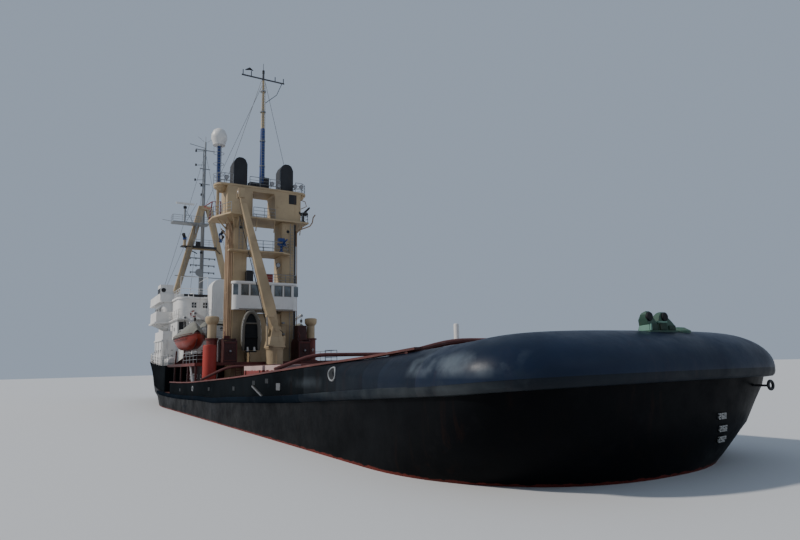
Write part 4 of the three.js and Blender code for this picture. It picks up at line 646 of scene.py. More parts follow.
def add_hull():
    shape = Shape()
    rings = [whole_outline(waterline(*hull_ring(z)), lambda x, z=z: shell_z(x, z)) for z in LEVELS]
    top = waterline(*HULL_LINES[-1][1:])
    under = waterline(*UNDER_DECK)
    for t in (0.35, 0.7):
        middle = [(lerp(a, c, t), lerp(b, d, t)) for (a, b), (c, d) in zip(top, under)]
        rings.append(whole_outline(middle, lambda x, t=t: lerp(shell_z(x, TOP_LEVEL), under_deck(x), t)))
    rings.append(whole_outline(under, under_deck))
    rings.append(whole_outline(waterline(*DECK_LINE), deck_z))
    shape.loft(rings, 0, caps=False)
    for ring, paint in ((rings[0], 0), (rings[-1], 1)):
        count = len(ring)
        faces = [(k, k + 1, count - k - 1, (count - k) % count) for k in range(count // 2)]
        shape.add(ring, faces, paint)
    skeg = [(9.5, -1.6), (11, KEEL_Z + 0.25), (40, KEEL_Z + 0.02), (40, -3), (20, -1.0)]
    shape.prism(skeg, -0.35, 0.35, "y")
    bulb = []
    for k in range(17):
        angle = math.pi * k / 16
        x, r = 84.5 + 5.2 * math.cos(angle), max(1.35 * math.sin(angle), 0.01)
        bulb.append([(x, r * c, -3.6 + r * 1.26 * s) for c, s in turn(24)])
    shape.loft(bulb)
    for side in BOTH:
        y = side * SHAFT_Y
        shaft = [(0.3, PROPELLER_X + 0.51), (0.34, PROPELLER_X + 0.6), (0.34, 19)]
        shape.lathe((0, y, SHAFT_Z), shaft, axis="x")
        for reach in (1.5, -1.5):
            shape.beam((PROPELLER_X + 1.5, y, SHAFT_Z), (PROPELLER_X + 1.8, y + reach, -1.4), (0.7, 0.16),
                       end=(0.8, 0.18))
        shape.rod((RUDDER_STOCK_X, y, -1.44), (RUDDER_STOCK_X, y, 0.6), 0.3, 20)
        shape.beam((30, side * 7.25, -5.28), (60, side * 7.25, -5.28), (0.06, 0.75), (0, 0.7, side * 0.7))
    for x, y in ((13, 5.2), (13, -5.2), (34, 6.6), (34, -6.6)):
        add_bollards(shape, x, y, 2)
    shape.lathe((22.7, -6.6, 0), [(0.2, deck_z(22.7) - 0.2), (0.2, 6.95), (0.17, 7.02), (0.02, 7.05)], 20, 3)
    shape.make("hull_shell", "hull_paint deck_paint dark_red white", sharp=40, weld=True,
               replaces="hull main_deck")


def strip_round(fore_end, section_at):
    """Closed strip that follows the deck edge round the stern; section_at(x) gives [inset, z] points."""
    def quarter(inset):
        aft, fore, half, run, power, bow_run, bow_power = DECK_LINE
        line = waterline(aft + inset, fore, half - inset, run - inset, power, bow_run, bow_power)
        return line[:QUARTER_STEPS + 1]
    start = DECK_LINE[0] + STERN_RUN
    count = int((fore_end - start) / EDGE_STEP)
    side_x = [lerp(start, fore_end, (i + 1) / count) for i in range(count)]
    rings = []
    total = QUARTER_STEPS + count
    for k in range(-total, total + 1):
        n = abs(k)
        x = quarter(0)[n][0] if n <= QUARTER_STEPS else side_x[n - QUARTER_STEPS - 1]
        ring = []
        for inset, z in section_at(x):
            px, py = quarter(inset)[n] if n <= QUARTER_STEPS else (x, HALF_BEAM - inset)
            ring.append((px, py if k >= 0 else -py, z))
        rings.append(ring)
    return rings


def crown_round(x):
    """Share of the crown, foot and top of the bulwark, and the width and drop of its round top."""
    crown = fade_crown(x)
    low = deck_z(x) + 3 * GAP - 0.07 * crown
    top = bulwark_top(x)
    return crown, low, top, lerp(0.06, CROWN_WIDTH, crown), lerp(0.06, top - low - 0.06, crown)


def bulwark_section(x, steps=14):
    crown, low, top, width, drop = crown_round(x)
    over = STRAKE_REACH * crown
    inner = width - over + lerp(BULWARK_THICK - 0.06, 0.5, crown)
    outer = []
    for i in range(steps + 1):
        angle = math.pi / 2 * i / steps
        outer.append((width * (1 - math.cos(angle)) - over, top - drop * (1 - math.sin(angle))))
    cap = lerp(width - over, inner, 0.6)
    return [(-over, low), *outer, (cap, top - 0.012), (inner, top - 0.05), (inner, low)]


def side_skin(x, z):
    """Half breadth of the bulwark's outer face at a height."""
    crown, _, top, width, drop = crown_round(x)
    sine = clamp(1 - (top - z) / drop)
    return HALF_BEAM + STRAKE_REACH * crown - width * (1 - math.sqrt(1 - sine * sine))


def strake_section(x, height=0.42, bevel=0.12):
    top = deck_z(x)
    low = top - height
    reach = STRAKE_REACH - 0.006
    return [(-GAP, low), (-reach + 0.1, low + 0.03), (-reach + 0.03, low + bevel), (-reach, low + 2 * bevel),
            (-reach, top - 0.03), (-reach + 0.03, top), (-GAP, top)]


def add_edge_strips():
    for name, end, section, family, sharp, node in (
            ("bulwark_shell", BULWARK_END, bulwark_section, "topside", 50, "bulwark"),
            ("strake", STRAKE_END, strake_section, "strake", 25, "rubbing_strake")):
        shape = Shape()
        shape.loft(strip_round(end, section))
        grade(shape.make(name, family + "_0", sharp=sharp, replaces=node), family)


def forecastle_half(x, fore=LENGTH, power=2.9):
    v = clamp((x - (fore - FORECASTLE_RUN)) / FORECASTLE_RUN)
    return max(HALF_BEAM * (1 - v ** power), 0.12)


def add_forecastle():
    shape = Shape()
    stations = [FORECASTLE_AFT, *range(62, 76, 2), *range(76, 83), 82.6, 83.2, 83.8, 84.5, 85.3, 86.1, 87,
                87.8, 88.5, 89.2, 89.8, 90.3, 90.8, 91.2, 91.5, 91.7]
    rings = []
    for x in stations:
        deck = fore_deck_z(x)
        low = lerp(deck_z(min(x, 90)) + GAP, deck - 0.25, clamp((x - 89.8) / 1.9))
        rail = deck + lerp(0.02, 1.15, clamp((x - HOUSE_FORE - 1) / 2.5))
        lower = 0.06 if x > 89.9 else forecastle_half(x, 90, 2.3)
        upper = forecastle_half(x)
        wall = upper - min(0.2, upper * 0.4)
        flare = [(lerp(lower, upper, t), lerp(low, rail, t ** 0.9)) for t in (0, 0.25, 0.5, 0.75, 1)]
        half = flare + [(wall, rail), (wall, deck)]
        rings.append([(x, y, z) for y, z in half + [(-y, z) for y, z in reversed(half)]])
    shape.loft(rings)
    x = 85.2
    for side in BOTH:
        shape.beam((x, side * 3.75, 6.2), (x, side * 3.25, 4.6), (0.28, 0.3), FORE, 1, (0.3, 0.34))
        shape.beam((x - 0.75, side * 3.25, 4.5), (x + 0.75, side * 3.1, 4.5), (0.35, 0.5), UP, 1)
        for d in (-0.6, 0.6):
            shape.beam((x + d, side * 3.25, 4.45), (x + d * 0.85, side * 3.7, 5.6), (0.34, 0.3), FORE, 1,
                       (0.1, 0.12))
    shape.make("forecastle_shell", SIDE_PAINT + " steel", sharp=30, replaces="forecastle")


add_hull()
add_edge_strips()
add_forecastle()

# Fittings that repeat all over the ship


RAIL_RADIUS = 0.03
RAIL_COURSES = 3
RUNG_RADIUS = 0.028


def railing(shape, line, height=1.1, spacing=1.5):
    places = [Vector(p) for p in line]
    for a, b in zip(places, places[1:]):
        count = max(1, round((b - a).length / spacing))
        for i in range(count + 1):
            foot = a.lerp(b, i / count)
            shape.rod(foot, foot + UP * height, RAIL_RADIUS, 5)
        for k in range(1, RAIL_COURSES + 1):
            rise = UP * (height * k / RAIL_COURSES)
            shape.rod(a + rise, b + rise, RAIL_RADIUS * (1.1 if k == RAIL_COURSES else 0.7), 5)


def deck_rail(shape, z, corners, **options):
    railing(shape, [(x, y, z) for x, y in corners], **options)


def ladder(shape, low, high, across=PORT, width=0.42, step=0.32, paint=0):
    low, high = Vector(low), Vector(high)
    half = Vector(across).normalized() * width / 2
    for side in (half, -half):
        shape.rod(low + side, high + side, RUNG_RADIUS, 5, paint)
    count = int((high - low).length / step)
    for i in range(1, count):
        middle = low.lerp(high, i / count)
        shape.rod(middle - half, middle + half, RUNG_RADIUS * 0.7, 5, paint)


def porthole(shape, centre, axis, facing, radius=0.2):
    proud = facing * 0.05
    rim = [(radius, 0), (radius + 0.07, proud * 0.4), (radius + 0.06, proud), (radius, proud),
           (radius * 0.98, proud * 0.3)]
    shape.lathe(centre, rim, 18, 0, axis)
    shape.drum(centre, radius, -proud * 0.3, proud * 0.45, 18, 1, axis)


def floodlight(shape, place, aim, size):
    place, aim = Vector(place), Vector(aim).normalized()
    back, front = place - aim * size * 0.7, place + aim * size * 0.7
    shape.path([back, back.lerp(front, 0.35), front], [size * 0.45, size * 0.85, size], 12, 0)
    shape.rod(front, front + aim * 0.02, size * 0.86, 12, 1)
    shape.rod(place - UP * size * 1.7, place, 0.035, 5, 0)


LIFE_RING_RADIUS = 0.36


def life_ring(shape, centre, axis):
    x, y, z = centre
    offsets = [(LIFE_RING_RADIUS * c, LIFE_RING_RADIUS * s) for c, s in turn(24)]
    points = [(x, y + u, z + v) if axis == "x" else (x + u, y, z + v) for u, v in offsets]
    shape.path(points, 0.075, 8, 0, closed=True)
    for first in range(1, 24, 6):
        shape.path(points[first:first + 3], 0.083, 8, 1)


DOOR_HEIGHT = 1.85
DOOR_DEPTH = 0.07


def door(shape, centre, axis, facing, width=0.75):
    """Steel door with three hinges and a handle, on a wall that faces along the axis."""
    d = facing * DOOR_DEPTH
    x, y, z = centre

    def slab(depth, left, right, low, high, paint):
        near, far = sorted((0, depth))
        if axis == "x":
            shape.box(x + near, x + far, y + left, y + right, z + low, z + high, paint)
        else:
            shape.box(x + left, x + right, y + near, y + far, z + low, z + high, paint)
    slab(d, -width / 2, width / 2, 0, DOOR_HEIGHT, 0)
    for lift in (0.3, 0.95, 1.6):
        slab(d * 1.5, -width / 2 - 0.08, -width / 2 + 0.16, lift, lift + 0.07, 1)
    out = d * 1.7
    grip = []
    for share, lift in ((0.3, 0.95), (0.1, 1.1)):
        u = width * share
        grip.append((x + out, y + u, z + lift) if axis == "x" else (x + u, y + out, z + lift))
    shape.path(grip, 0.03, 6, 1)


# Tower

TOWER_AFT = 47.9
TOWER_FORE = 50.5
LEG_OUTER = 3.37
LEG_MIDDLE = 2.62
TOP_BOX_Z = 20.2
TOP_PLATE_Z = 23.7
MID_PLATFORM_Z = 16.4
CABIN_AFT = 47.0
CABIN_ROOF_Z = 13.1
CABIN_WINDOWS = [(-3.25, 0.25), (-2.3, 0.37), (-1.28, 0.42), (0, 0.45), (1.28, 0.42), (2.3, 0.37),
                 (3.25, 0.25)]
MAST_X = 49.2
TOWER_RAILS = [
    (TOP_PLATE_Z, 1.1, [(48.0, -3.5), (48.0, -4.3), (48.6, -4.85), (49.5, -4.85), (50.4, -4.2), (50.5, 4.2),
                        (49.8, 5.15)]),
    (TOP_PLATE_Z, 1.1, [(48.0, -1.7), (48.0, 1.7)]),
    (TOP_PLATE_Z, 1.1, [(48.0, 3.5), (48.0, 4.4), (48.3, 5.1)]),
    (TOP_BOX_Z, 1.3, [(47.6, -4.15), (47.55, -4.8), (51.3, -4.8), (51.3, 5.2), (49.3, 5.2), (46.5, 4.0)]),
    (TOP_BOX_Z, 1.2, [(47.6, 1.35), (47.6, -1.05)]),
    (TOP_BOX_Z, 1.2, [(50.6, 1.35), (50.6, -1.05)]),
    (MID_PLATFORM_Z, 1.0, [(47.8, -2.5), (47.25, -2.5), (46.7, -1.6), (46.85, 0.5), (47.05, 1.8)]),
    (MID_PLATFORM_Z, 1.2, [(50.1, -1.8), (50.1, 1.8)]),
]


def add_tower_structure():
    rails = Shape()
    for z, spacing, corners in TOWER_RAILS:
        deck_rail(rails, z, corners, spacing=spacing)
    deck_rail(rails, CABIN_ROOF_Z, [(47.2, 0.2), (47.2, -3.3), (47.8, -3.45)], spacing=1.1, height=0.9)
    rails.make("tower_rails", "grey")

    plates = Shape()
    for y in (-4.0, -1.0, 1.0):
        plates.beam((TOWER_AFT + 0.02, y, 18.72), (47.57, y, 19.98), (0.08, 0.12), PORT)
    for side in BOTH:
        plates.beam((MAST_X, side * LEG_OUTER, 18.42), (MAST_X, side * 4.75, 19.97), (0.14, 0.14),
                    end=(0.12, 0.12))
    for y in (2.2, 3.1, 3.9):
        plates.beam((TOWER_AFT + 0.05, min(y, 3.3), 18.9), (46.6, y, 19.98), (0.1, 0.1), PORT,
                    end=(0.08, 0.1))
    plates.lathe((49.05, 4.5, 0), [(0.15, 22.85), (0.75, 23.3), (0.82, 23.52), (0.2, 23.52)])
    plates.lathe((49.05, -4.35, 0), [(0.1, 22.95), (0.5, 23.3), (0.58, 23.52), (0.1, 23.52)])
    for side in BOTH:
        for z in (6.2, 8.6, 11.6, 14.2, 16.1, 18.7):
            y = side * LEG_MIDDLE
            plates.box(TOWER_AFT - 0.025, TOWER_AFT + 0.02, y - 0.72, y + 0.72, z, z + 0.07)
            plates.box(48.0, 50.4, side * LEG_OUTER - 0.02, side * LEG_OUTER + 0.025, z, z + 0.07)
        y = side * (LEG_OUTER + 0.02)
        plates.box(48.3, 49.0, y - 0.03, y + 0.03, 5.1, 6.9)
    for y, z in ((2.62, 22.0), (-1.5, 21.6), (2.1, 21.2), (2.5, 19.2), (-2.5, 19.2)):
        plates.box(TOWER_AFT - 0.05, TOWER_AFT + 0.02, y - 0.16, y + 0.16, z, z + 0.3)
    for y in (-1.13, 1.43):
        plates.box(TOWER_AFT - 0.04, TOWER_FORE + 0.04, y - 0.04, y + 0.04, TOP_BOX_Z + 0.02, 22.8)
    plates.box(47.85, 50.6, -1.1, 1.4, 23.1, 23.2)
    plates.make("tower_stiffeners", "buff", bevel=0.01)

    pipes = Shape()
    pipes.path([(48.3, -3.75, 17.5), (48.45, -3.8, 19.3), (48.5, -4.4, 19.57), (48.5, -5.45, 20.05),
                (48.5, -5.75, 20.5), (48.5, -5.85, 21.1), (48.5, -6.1, 21.45)], 0.07, 8)
    pipes.path([(48.9, -4.2, 23.2), (48.6, -4.9, 22.9), (48.4, -5.0, 22.3), (48.3, -4.3, 21.9)], 0.05, 6)
    for d, top in ((0.0, 19.5), (0.35, 19.1), (0.62, 18.2)):
        x, y = 47.7 + d * 0.3, 3.55 + d * 0.4
        pipes.path([(x, y, 5.0), (x, y, top - 1.4), (x - 0.1, 3.75 + d * 0.5, top - 0.5),
                    (47.3, 4.2 + d, top + 0.3)], 0.06, 7)
    pipes.rod((47.78, -3.6, 5.0), (47.78, -3.6, 19.9), 0.05, 7)
    pipes.rod((47.8, 1.7, 5.0), (47.8, 1.7, 10.1), 0.07, 8)
    pipes.make("tower_pipes", "pipes")

    steel = Shape()
    climbs = ((47.75, -3.05, 13.3, 19.9), (47.8, 2.6, MID_PLATFORM_Z, 20.0), (47.75, -3.0, 5.0, 10.2))
    for x, y, low, high in climbs:
        ladder(steel, (x, y, low), (x, y, high))
    for z in (6.4, 7.6, 8.8):
        steel.box(47.55, 47.9, -2.2, -1.95, z, z + 0.16)
    ladder(steel, (48.86, 0.0, TOP_PLATE_Z), (48.95, 0.0, 36.5), width=0.34)
    ladder(steel, (48.75, 4.85, TOP_PLATE_Z), (48.75, 4.85, 28.0), width=0.4)
    for z in (24.8, 26.0, 27.2):
        steel.path([(49.0 + 0.55 * c, 4.85 + 0.55 * s, z) for c, s in turn(10)], 0.025, 5, closed=True)
    for z in (26.5, 29.5, 33.0, 35.5):
        steel.collar((MAST_X, 0, z), 0.2, 0.33, 0, 0.12, 14)
    steel.make("tower_ladders", "grey")


def add_monitor(shape, centre, size, paint):
    """A fire monitor: foot, elbow, barrel that points aft, handwheels and a lever."""
    x, y, z = centre

    def near(dx, dy, dz):
        return x + dx * size, y + dy * size, z + dz * size
    foot = [(0.0, 0.0), (0.3 * size, 0.0), (0.3 * size, 0.15), (0.16 * size, 0.2),
            (0.16 * size, 0.85 * size), (0.0, 0.9 * size)]
    shape.lathe(centre, foot, 14, paint)
    shape.rod(near(0, -0.35, 1.0), near(0, 0.35, 1.0), 0.2 * size, 12, paint)
    shape.path([(x, y, z + 0.8 * size), (x - 0.2 * size, y - 0.1, z + 1.15 * size), near(-1.2, -0.3, 1.5)],
               [0.14 * size, 0.13 * size, 0.1 * size], 12, paint)
    shape.path([near(0, -0.5, 0.75), near(0, -0.62, 1.0), near(0, -0.5, 1.25)], 0.04, 6, paint)
    for dy in (-0.45, 0.45):
        shape.drum(near(0, dy, 1.1), 0.2 * size, -0.03, 0.03, 14, paint, "y")


def add_tower_gear():
    dark = Shape()
    top = TOP_PLATE_Z
    dark.lathe((MAST_X, 0.2, top), [(0.0, 0.02), (0.95, 0.02), (0.9, 0.5), (0.55, 0.75), (0.0, 0.8)], 16)
    dark.box(48.7, 49.6, 0.5, 1.5, top + 0.02, top + 0.75)
    dark.box(48.8, 49.5, -0.7, -0.1, top + 0.02, top + 1.5)
    dark.box(TOWER_AFT - 0.02, TOWER_AFT + 0.36, -3.58, -2.72, 22.22, 23.28)
    dark.box(47.2, 47.8, 1.4, 2.1, CABIN_ROOF_Z, CABIN_ROOF_Z + 1.05)
    dark.box(47.25, 47.75, 1.45, 2.05, CABIN_ROOF_Z + 1.05, CABIN_ROOF_Z + 1.2)
    for side in BOTH:
        dark.drum((TOWER_AFT - 0.02, side * LEG_MIDDLE, 19.0), 0.18, 0.0, 0.04, 12, axis="x")
    dark.make("tower_dark_gear", "funnel_black", bevel=0.03)

    lamps = Shape()
    for y, z in ((4.32, 24.25), (-0.64, 24.2), (-1.4, 24.1), (-3.3, 24.25), (-4.05, 24.3)):
        floodlight(lamps, (47.7, y, z), (-1, 0, -0.35), 0.24)
    floodlight(lamps, (47.4, -1.3, 15.1), (-1, 0, -0.3), 0.26)
    floodlight(lamps, (48.6, 4.35, 17.9), (-0.3, 1, -0.2), 0.24)
    lamps.lathe((MAST_X, 0, 37.75), [(0.0, 0.0), (0.14, 0.0), (0.14, 0.4), (0.0, 0.5)], 10)
    lamps.make("tower_lamps", "funnel_black lamp_glass")

    monitors = Shape()
    add_monitor(monitors, (48.0, -4.4, TOP_BOX_Z), 1.0, 1)
    add_monitor(monitors, (47.1, -1.6, MID_PLATFORM_Z), 0.85, 0)
    monitors.box(47.0, 47.4, -1.95, -1.25, MID_PLATFORM_Z + 1.25, MID_PLATFORM_Z + 1.6, 0)
    monitors.make("fire_monitors", "blue funnel_black")

    red = Shape()
    red.box(47.3, 47.7, -0.75, -0.1, CABIN_ROOF_Z, CABIN_ROOF_Z + 0.95)
    frame_head = (50.6, 5.05, 22.2)
    frame_tip = (52.0, 5.6, 21.9)
    red.path([(51.2, 5.15, 20.3), frame_head, (50.5, 4.2, 22.3), (50.5, 4.2, 20.3)], 0.07, 6)
    red.path([frame_head, frame_tip], 0.06, 6)
    red.path([(50.9, 5.1, 21.4), frame_tip], 0.05, 6)
    red.path([(50.6, 4.6, 22.25), (50.6, 4.6, 21.2)], 0.1, 6)
    red.make("red_gear", "red", bevel=0.01)


def add_cabin():
    panes = Shape()
    for y, half in CABIN_WINDOWS:
        panes.box(CABIN_AFT + 0.04, CABIN_AFT + 0.07, y - half, y + half, 11.65, 12.75)
    panes.make("cabin_panes", "cabin_glass")
    trim = Shape()
    bar = 0.035
    near, far = CABIN_AFT - 0.02, CABIN_AFT + 0.04
    wiper_x = CABIN_AFT - 0.03
    for y, half in CABIN_WINDOWS[1:-1]:
        for edge in (-half, half):
            trim.box(near, far, y + edge - bar, y + edge + bar, 11.62, 12.78)
        for z in (11.62, 12.74):
            trim.box(near, far, y - half - bar, y + half + bar, z, z + 0.04)
        trim.beam((wiper_x, y - half * 0.5, 11.7), (wiper_x, y + half * 0.2, 12.45), (0.03, 0.03),
                  end=(0.02, 0.02))
    trim.box(CABIN_AFT - 0.03, CABIN_AFT + 0.02, -2.9, 2.9, 10.18, 10.26)
    trim.make("cabin_window_frames", "rubber_grey")


# Masts

POLE_X = 78.8
MAST_PLATFORM_Z = 22.62
RADAR_DECK_Z = 25.9
STAYS = [
    ((MAST_X, 0.2, 36.9), (50.4, 3.9, 23.75)), ((MAST_X, -0.2, 36.9), (50.4, -3.9, 23.75)),
    ((MAST_X, 0, 36.6), (77.8, 0, 29.2)), ((POLE_X, 0.1, 37.8), (80.2, 5.6, 14.6)),
    ((POLE_X, -0.1, 37.8), (80.2, -5.6, 14.6)), ((POLE_X, 0, 36.5), (91.0, 0, 8.3)),
    ((77.9, 0.7, 28.7), (81.5, 5.4, 14.6)), ((77.9, -0.7, 28.7), (81.5, -5.4, 14.6)),
]


def add_mast_fittings():
    gear = Shape()
    gear.rod((78.4, 0.35, 13.6), (78.4, 0.35, 38.6), 0.09)
    for z, reach in ((38.25, 1.45), (35.95, 1.4), (33.5, 1.45), (32.7, 0.5), (31.2, 0.45)):
        gear.rod((POLE_X, 0, z + 0.25), (POLE_X, reach, z), 0.045, 6)
        gear.lathe((POLE_X, reach, z), [(0.0, -0.12), (0.13, -0.12), (0.13, 0.2), (0.0, 0.28)], 10, 1)
    gear.path([(POLE_X, 0.1, 38.95), (POLE_X, 2.4, 39.3)], 0.05, 6)
    gear.rod((POLE_X, -1.3, 38.6), (POLE_X, -1.3, 39.9), 0.03, 5)
    for z, reach in ((21.1, 1.9), (20.0, 1.8), (18.9, 1.8)):
        for share in (-1, -0.55, 0.5, 0.95):
            gear.rod((POLE_X, reach * share, z - 0.22), (POLE_X, reach * share, z + 0.1), 0.07, 7, 1)
    gear.rod((77.85, -4.2, 17.9), (77.85, 4.1, 18.1), 0.06, 6)
    gear.rod((POLE_X, 0, 39.8), (POLE_X, 0, 40.9), 0.035, 5)
    for y in (-1.2, 1.2):
        gear.path([(POLE_X, y * 0.2, 40.0), (POLE_X, y, 40.7)], 0.025, 5)
    gear.rod((76.5, 3.0, 26.0), (76.0, 1.6, 29.0), 0.03, 5)
    gear.beam((76.5, 3.2, 28.0), (76.6, 1.9, 26.05), (0.06, 0.06))
    gear.rod((76.5, 4.85, 25.95), (76.5, 6.3, 26.1), 0.035, 5)
    gear.lathe((76.5, 3.2, 0), [(0.0, 28.1), (0.24, 28.1), (0.26, 28.42), (0.0, 28.5)], 12, 1)
    gear.make("mast_gear", "grey funnel_black")

    walks = Shape()
    walks.box(76.9, 78.5, -1.7, 1.75, 22.4, MAST_PLATFORM_Z, 1)
    walks.box(77.2, 78.4, 2.0, 3.4, 22.5, 22.6, 1)
    walks.beam((77.8, 1.0, 21.6), (77.8, 2.9, 22.5), (0.12, 0.12), FORE, 1, (0.1, 0.1))
    walks.beam((77.2, -1.6, 22.4), (77.4, -2.4, 21.7), (0.1, 0.12), FORE, 1, (0.1, 0.1))
    walks.box(76.8, 77.3, 0.75, 1.35, MAST_PLATFORM_Z, 23.3, 1)
    walks.lathe((77.2, 0.5, 21.5), [(0.0, 0.0), (0.22, 0.05), (0.22, 0.3), (0.0, 0.4)], 12, 1)
    for y, z, side, paint in ((2.9, 22.6, 1, 0), (-2.4, 23.6, -1, 2)):
        walks.lathe((77.6, y, z), [(0.0, 0.0), (0.3, 0.0), (0.22, 0.3), (0.2, 0.95), (0.0, 1.0)], 12, paint)
        walks.lathe((77.6, y, z + 1.2), [(0.0, -0.3), (0.26, -0.25), (0.3, 0.2), (0.0, 0.3)], 12, 2)
        walks.path([(77.6, y, z + 1.25), (77.0, y + side * 0.3, z + 1.7)], [0.2, 0.26], 12, 1)
    walks.make("mast_lamps", "buff funnel_black blue", bevel=0.01)

    rails = Shape()
    deck_rail(rails, MAST_PLATFORM_Z, [(76.9, -1.65), (76.9, 1.7)], height=1.0, spacing=1.1)
    deck_rail(rails, RADAR_DECK_Z, [(77.2, -0.2), (75.65, -0.2), (75.65, 5.0), (77.2, 5.0)], height=0.95,
              spacing=1.3)
    ladder(rails, (77.35, 3.95, 14.2), (77.35, 1.25, 26.0), (0, 1, 0.25), width=0.38)
    for y in (2.0, -2.0):
        rails.rod((77.5, y, 21.9), (77.5, y * 0.4, 28.3), 0.025, 5)
    rails.make("foremast_rails", "grey")

    stays = Shape()
    for a, b in STAYS:
        stays.rod(a, b, 0.022, 5)
    stays.make("stays", "wire")

    yard = Shape()
    for y, z in ((1.4, 37.2), (2.35, 37.2), (-1.4, 37.15), (-2.4, 37.15)):
        yard.rod((MAST_X, y, z), (MAST_X, y, z + 0.55), 0.05, 6)
    yard.path([(MAST_X, 2.1, 37.75), (MAST_X, 1.6, 38.0), (MAST_X, 1.2, 37.85)], [0.05, 0.16, 0.04], 8)
    yard.rod((MAST_X, 0, 37.7), (MAST_X, 0, 39.0), 0.03, 5)
    yard.path([(MAST_X, -2.2, 37.0), (MAST_X, -1.6, 35.5), (MAST_X, -0.25, 34.2)], 0.035, 6)
    yard.make("yard_aerials", "funnel_black")


# Houses

DECKHOUSE_HALF = 5.4
UPPER_HALF = 5.7
NARROW_HALF = 5.6
NARROW_AFT = 60.0
WHEEL_AFT = 66.2
WHEEL_FORE = 79.6
WHEEL_HALF = 6.4
WHEEL_ROOF_Z = 13.55
SILL_Z = 12.0
HEAD_Z = 12.9
FRONT_WINDOWS = [-4.8, -3.2, -1.6, 0, 1.6, 3.2, 4.8]
FLANK_WINDOWS = [73.7, 75.2, 76.7, 78.2]
AFT_WINDOWS = [-3.5, -2.1, 2.1, 3.5]
WIDE_TIER = [[64.7, 7.4], [72, 7.25], [76, 6.6], [79, 5.8], [HOUSE_FORE, 5.1]]
BRIDGE_EDGE = [(63.7, 5.8), (70, 5.8), (70.45, 7.5), (75.55, 7.5), (76.2, 6.5), (79.4, 5.9), (80.7, 5.1)]
AFT_DOORS = [((NARROW_AFT, 4.6, 5.0), 0.75), ((NARROW_AFT, -4.6, 5.0), 0.75), ((64.7, 6.6, 5.0), 0.7),
             ((WHEEL_AFT, 0.0, 10.75), 0.75), ((50.7, 4.4, 1.9), 0.75), ((50.7, -4.4, 1.9), 0.75)]
RAFT_Y = 6.9
wide_half = table(WIDE_TIER)


def add_wheelhouse_glass():
    panes = Shape()
    frames = Shape()
    inner = 0.07
    bar = 0.04
    near, far = WHEEL_FORE - 0.05, WHEEL_FORE + 0.03
    for y in FRONT_WINDOWS:
        panes.box(WHEEL_FORE - inner - 0.03, WHEEL_FORE - inner, y - 0.62, y + 0.62, SILL_Z, HEAD_Z)
        for edge in (-0.62, 0.62):
            frames.box(near, far, y + edge - bar, y + edge + bar, SILL_Z - bar, HEAD_Z + bar)
        for z in (SILL_Z, HEAD_Z):
            frames.box(near, far, y - 0.62, y + 0.62, z - bar, z + bar)
        frames.path([(WHEEL_FORE + 0.06, y, HEAD_Z + 0.05), (WHEEL_FORE + 0.07, y + 0.25, SILL_Z + 0.3)],
                    0.02, 5)
    for x in FLANK_WINDOWS:
        for side in BOTH:
            y = side * (WHEEL_HALF - inner)
            panes.box(x - 0.6, x + 0.6, y - 0.015, y + 0.015, SILL_Z, HEAD_Z)
            near, far = side * WHEEL_HALF - 0.03, side * WHEEL_HALF + 0.03
            for edge in (-0.6, 0.6):
                frames.box(x + edge - bar, x + edge + bar, near, far, SILL_Z - bar, HEAD_Z + bar)
            for z in (SILL_Z, HEAD_Z):
                frames.box(x - 0.6, x + 0.6, near, far, z - bar, z + bar)
    near, far = WHEEL_AFT - 0.03, WHEEL_AFT + 0.04
    for y in AFT_WINDOWS:
        panes.box(WHEEL_AFT + inner, WHEEL_AFT + inner + 0.03, y - 0.32, y + 0.32, SILL_Z + 0.15,
                  HEAD_Z - 0.05)
        for edge in (-0.32, 0, 0.32):
            frames.box(near, far, y + edge - 0.03, y + edge + 0.03, SILL_Z + 0.1, HEAD_Z)
        for z in (SILL_Z + 0.13, SILL_Z + 0.5, HEAD_Z - 0.03):
            frames.box(near, far, y - 0.34, y + 0.34, z - 0.025, z + 0.025)
    panes.make("wheelhouse_panes", "glass")
    frames.make("wheelhouse_window_frames", "white", bevel=0.006)
    for name, side in SIDES:
        pane = Shape()
        y = side * (WHEEL_HALF - 0.05)
        pane.box(71.9, 72.4, y - 0.015, y + 0.015, 11.85, 12.5)
        pane.make("wing_door_pane_" + name, "glass", body="wing_door_" + name)


def add_house_openings():
    ports = Shape()
    for side in BOTH:
        for x in (61.2, 62.6, 64.0):
            porthole(ports, (x, side * NARROW_HALF, 6.7), "y", side)
        for x in (66, 67.8, 69.6, 71.4):
            porthole(ports, (x, side * (wide_half(x) + 0.005), 6.6), "y", side, 0.22)
        for x in (66.8, 68.6, 70.4, 72.2, 74.0, 75.8, 77.6):
            porthole(ports, (x, side * UPPER_HALF, 9.35), "y", side, 0.22)
        for x in (52.0, 53.8, 57.6):
            porthole(ports, (x, side * DECKHOUSE_HALF, 3.4), "y", side)
        for y in (1.2, 3.0):
            porthole(ports, (NARROW_AFT, side * y, 6.7), "x", -1)
    for y in (-4.6, -3.0, -1.4, 0.2, 1.8, 3.2):
        porthole(ports, (65.0, y, 9.35), "x", -1, 0.22)
    for y in (-4.2, -2.8, -1.4, 0, 1.4, 2.8, 4.2):
        porthole(ports, (79.8, y, 9.3), "x", 1, 0.24)
        porthole(ports, (HOUSE_FORE, y * 0.9, 6.9), "x", 1)
    ports.make("portholes", "white glass")

    doors = Shape()
    for side in BOTH:
        for x, y, z in ((55.6, DECKHOUSE_HALF, 1.9), (58.8, DECKHOUSE_HALF, 1.95), (68.7, UPPER_HALF, 8.2)):
            door(doors, (x, side * y, z), "y", side)
    for place, width in AFT_DOORS:
        door(doors, place, "x", -1, width)
    doors.make("steel_doors", "white steel", bevel=0.01)

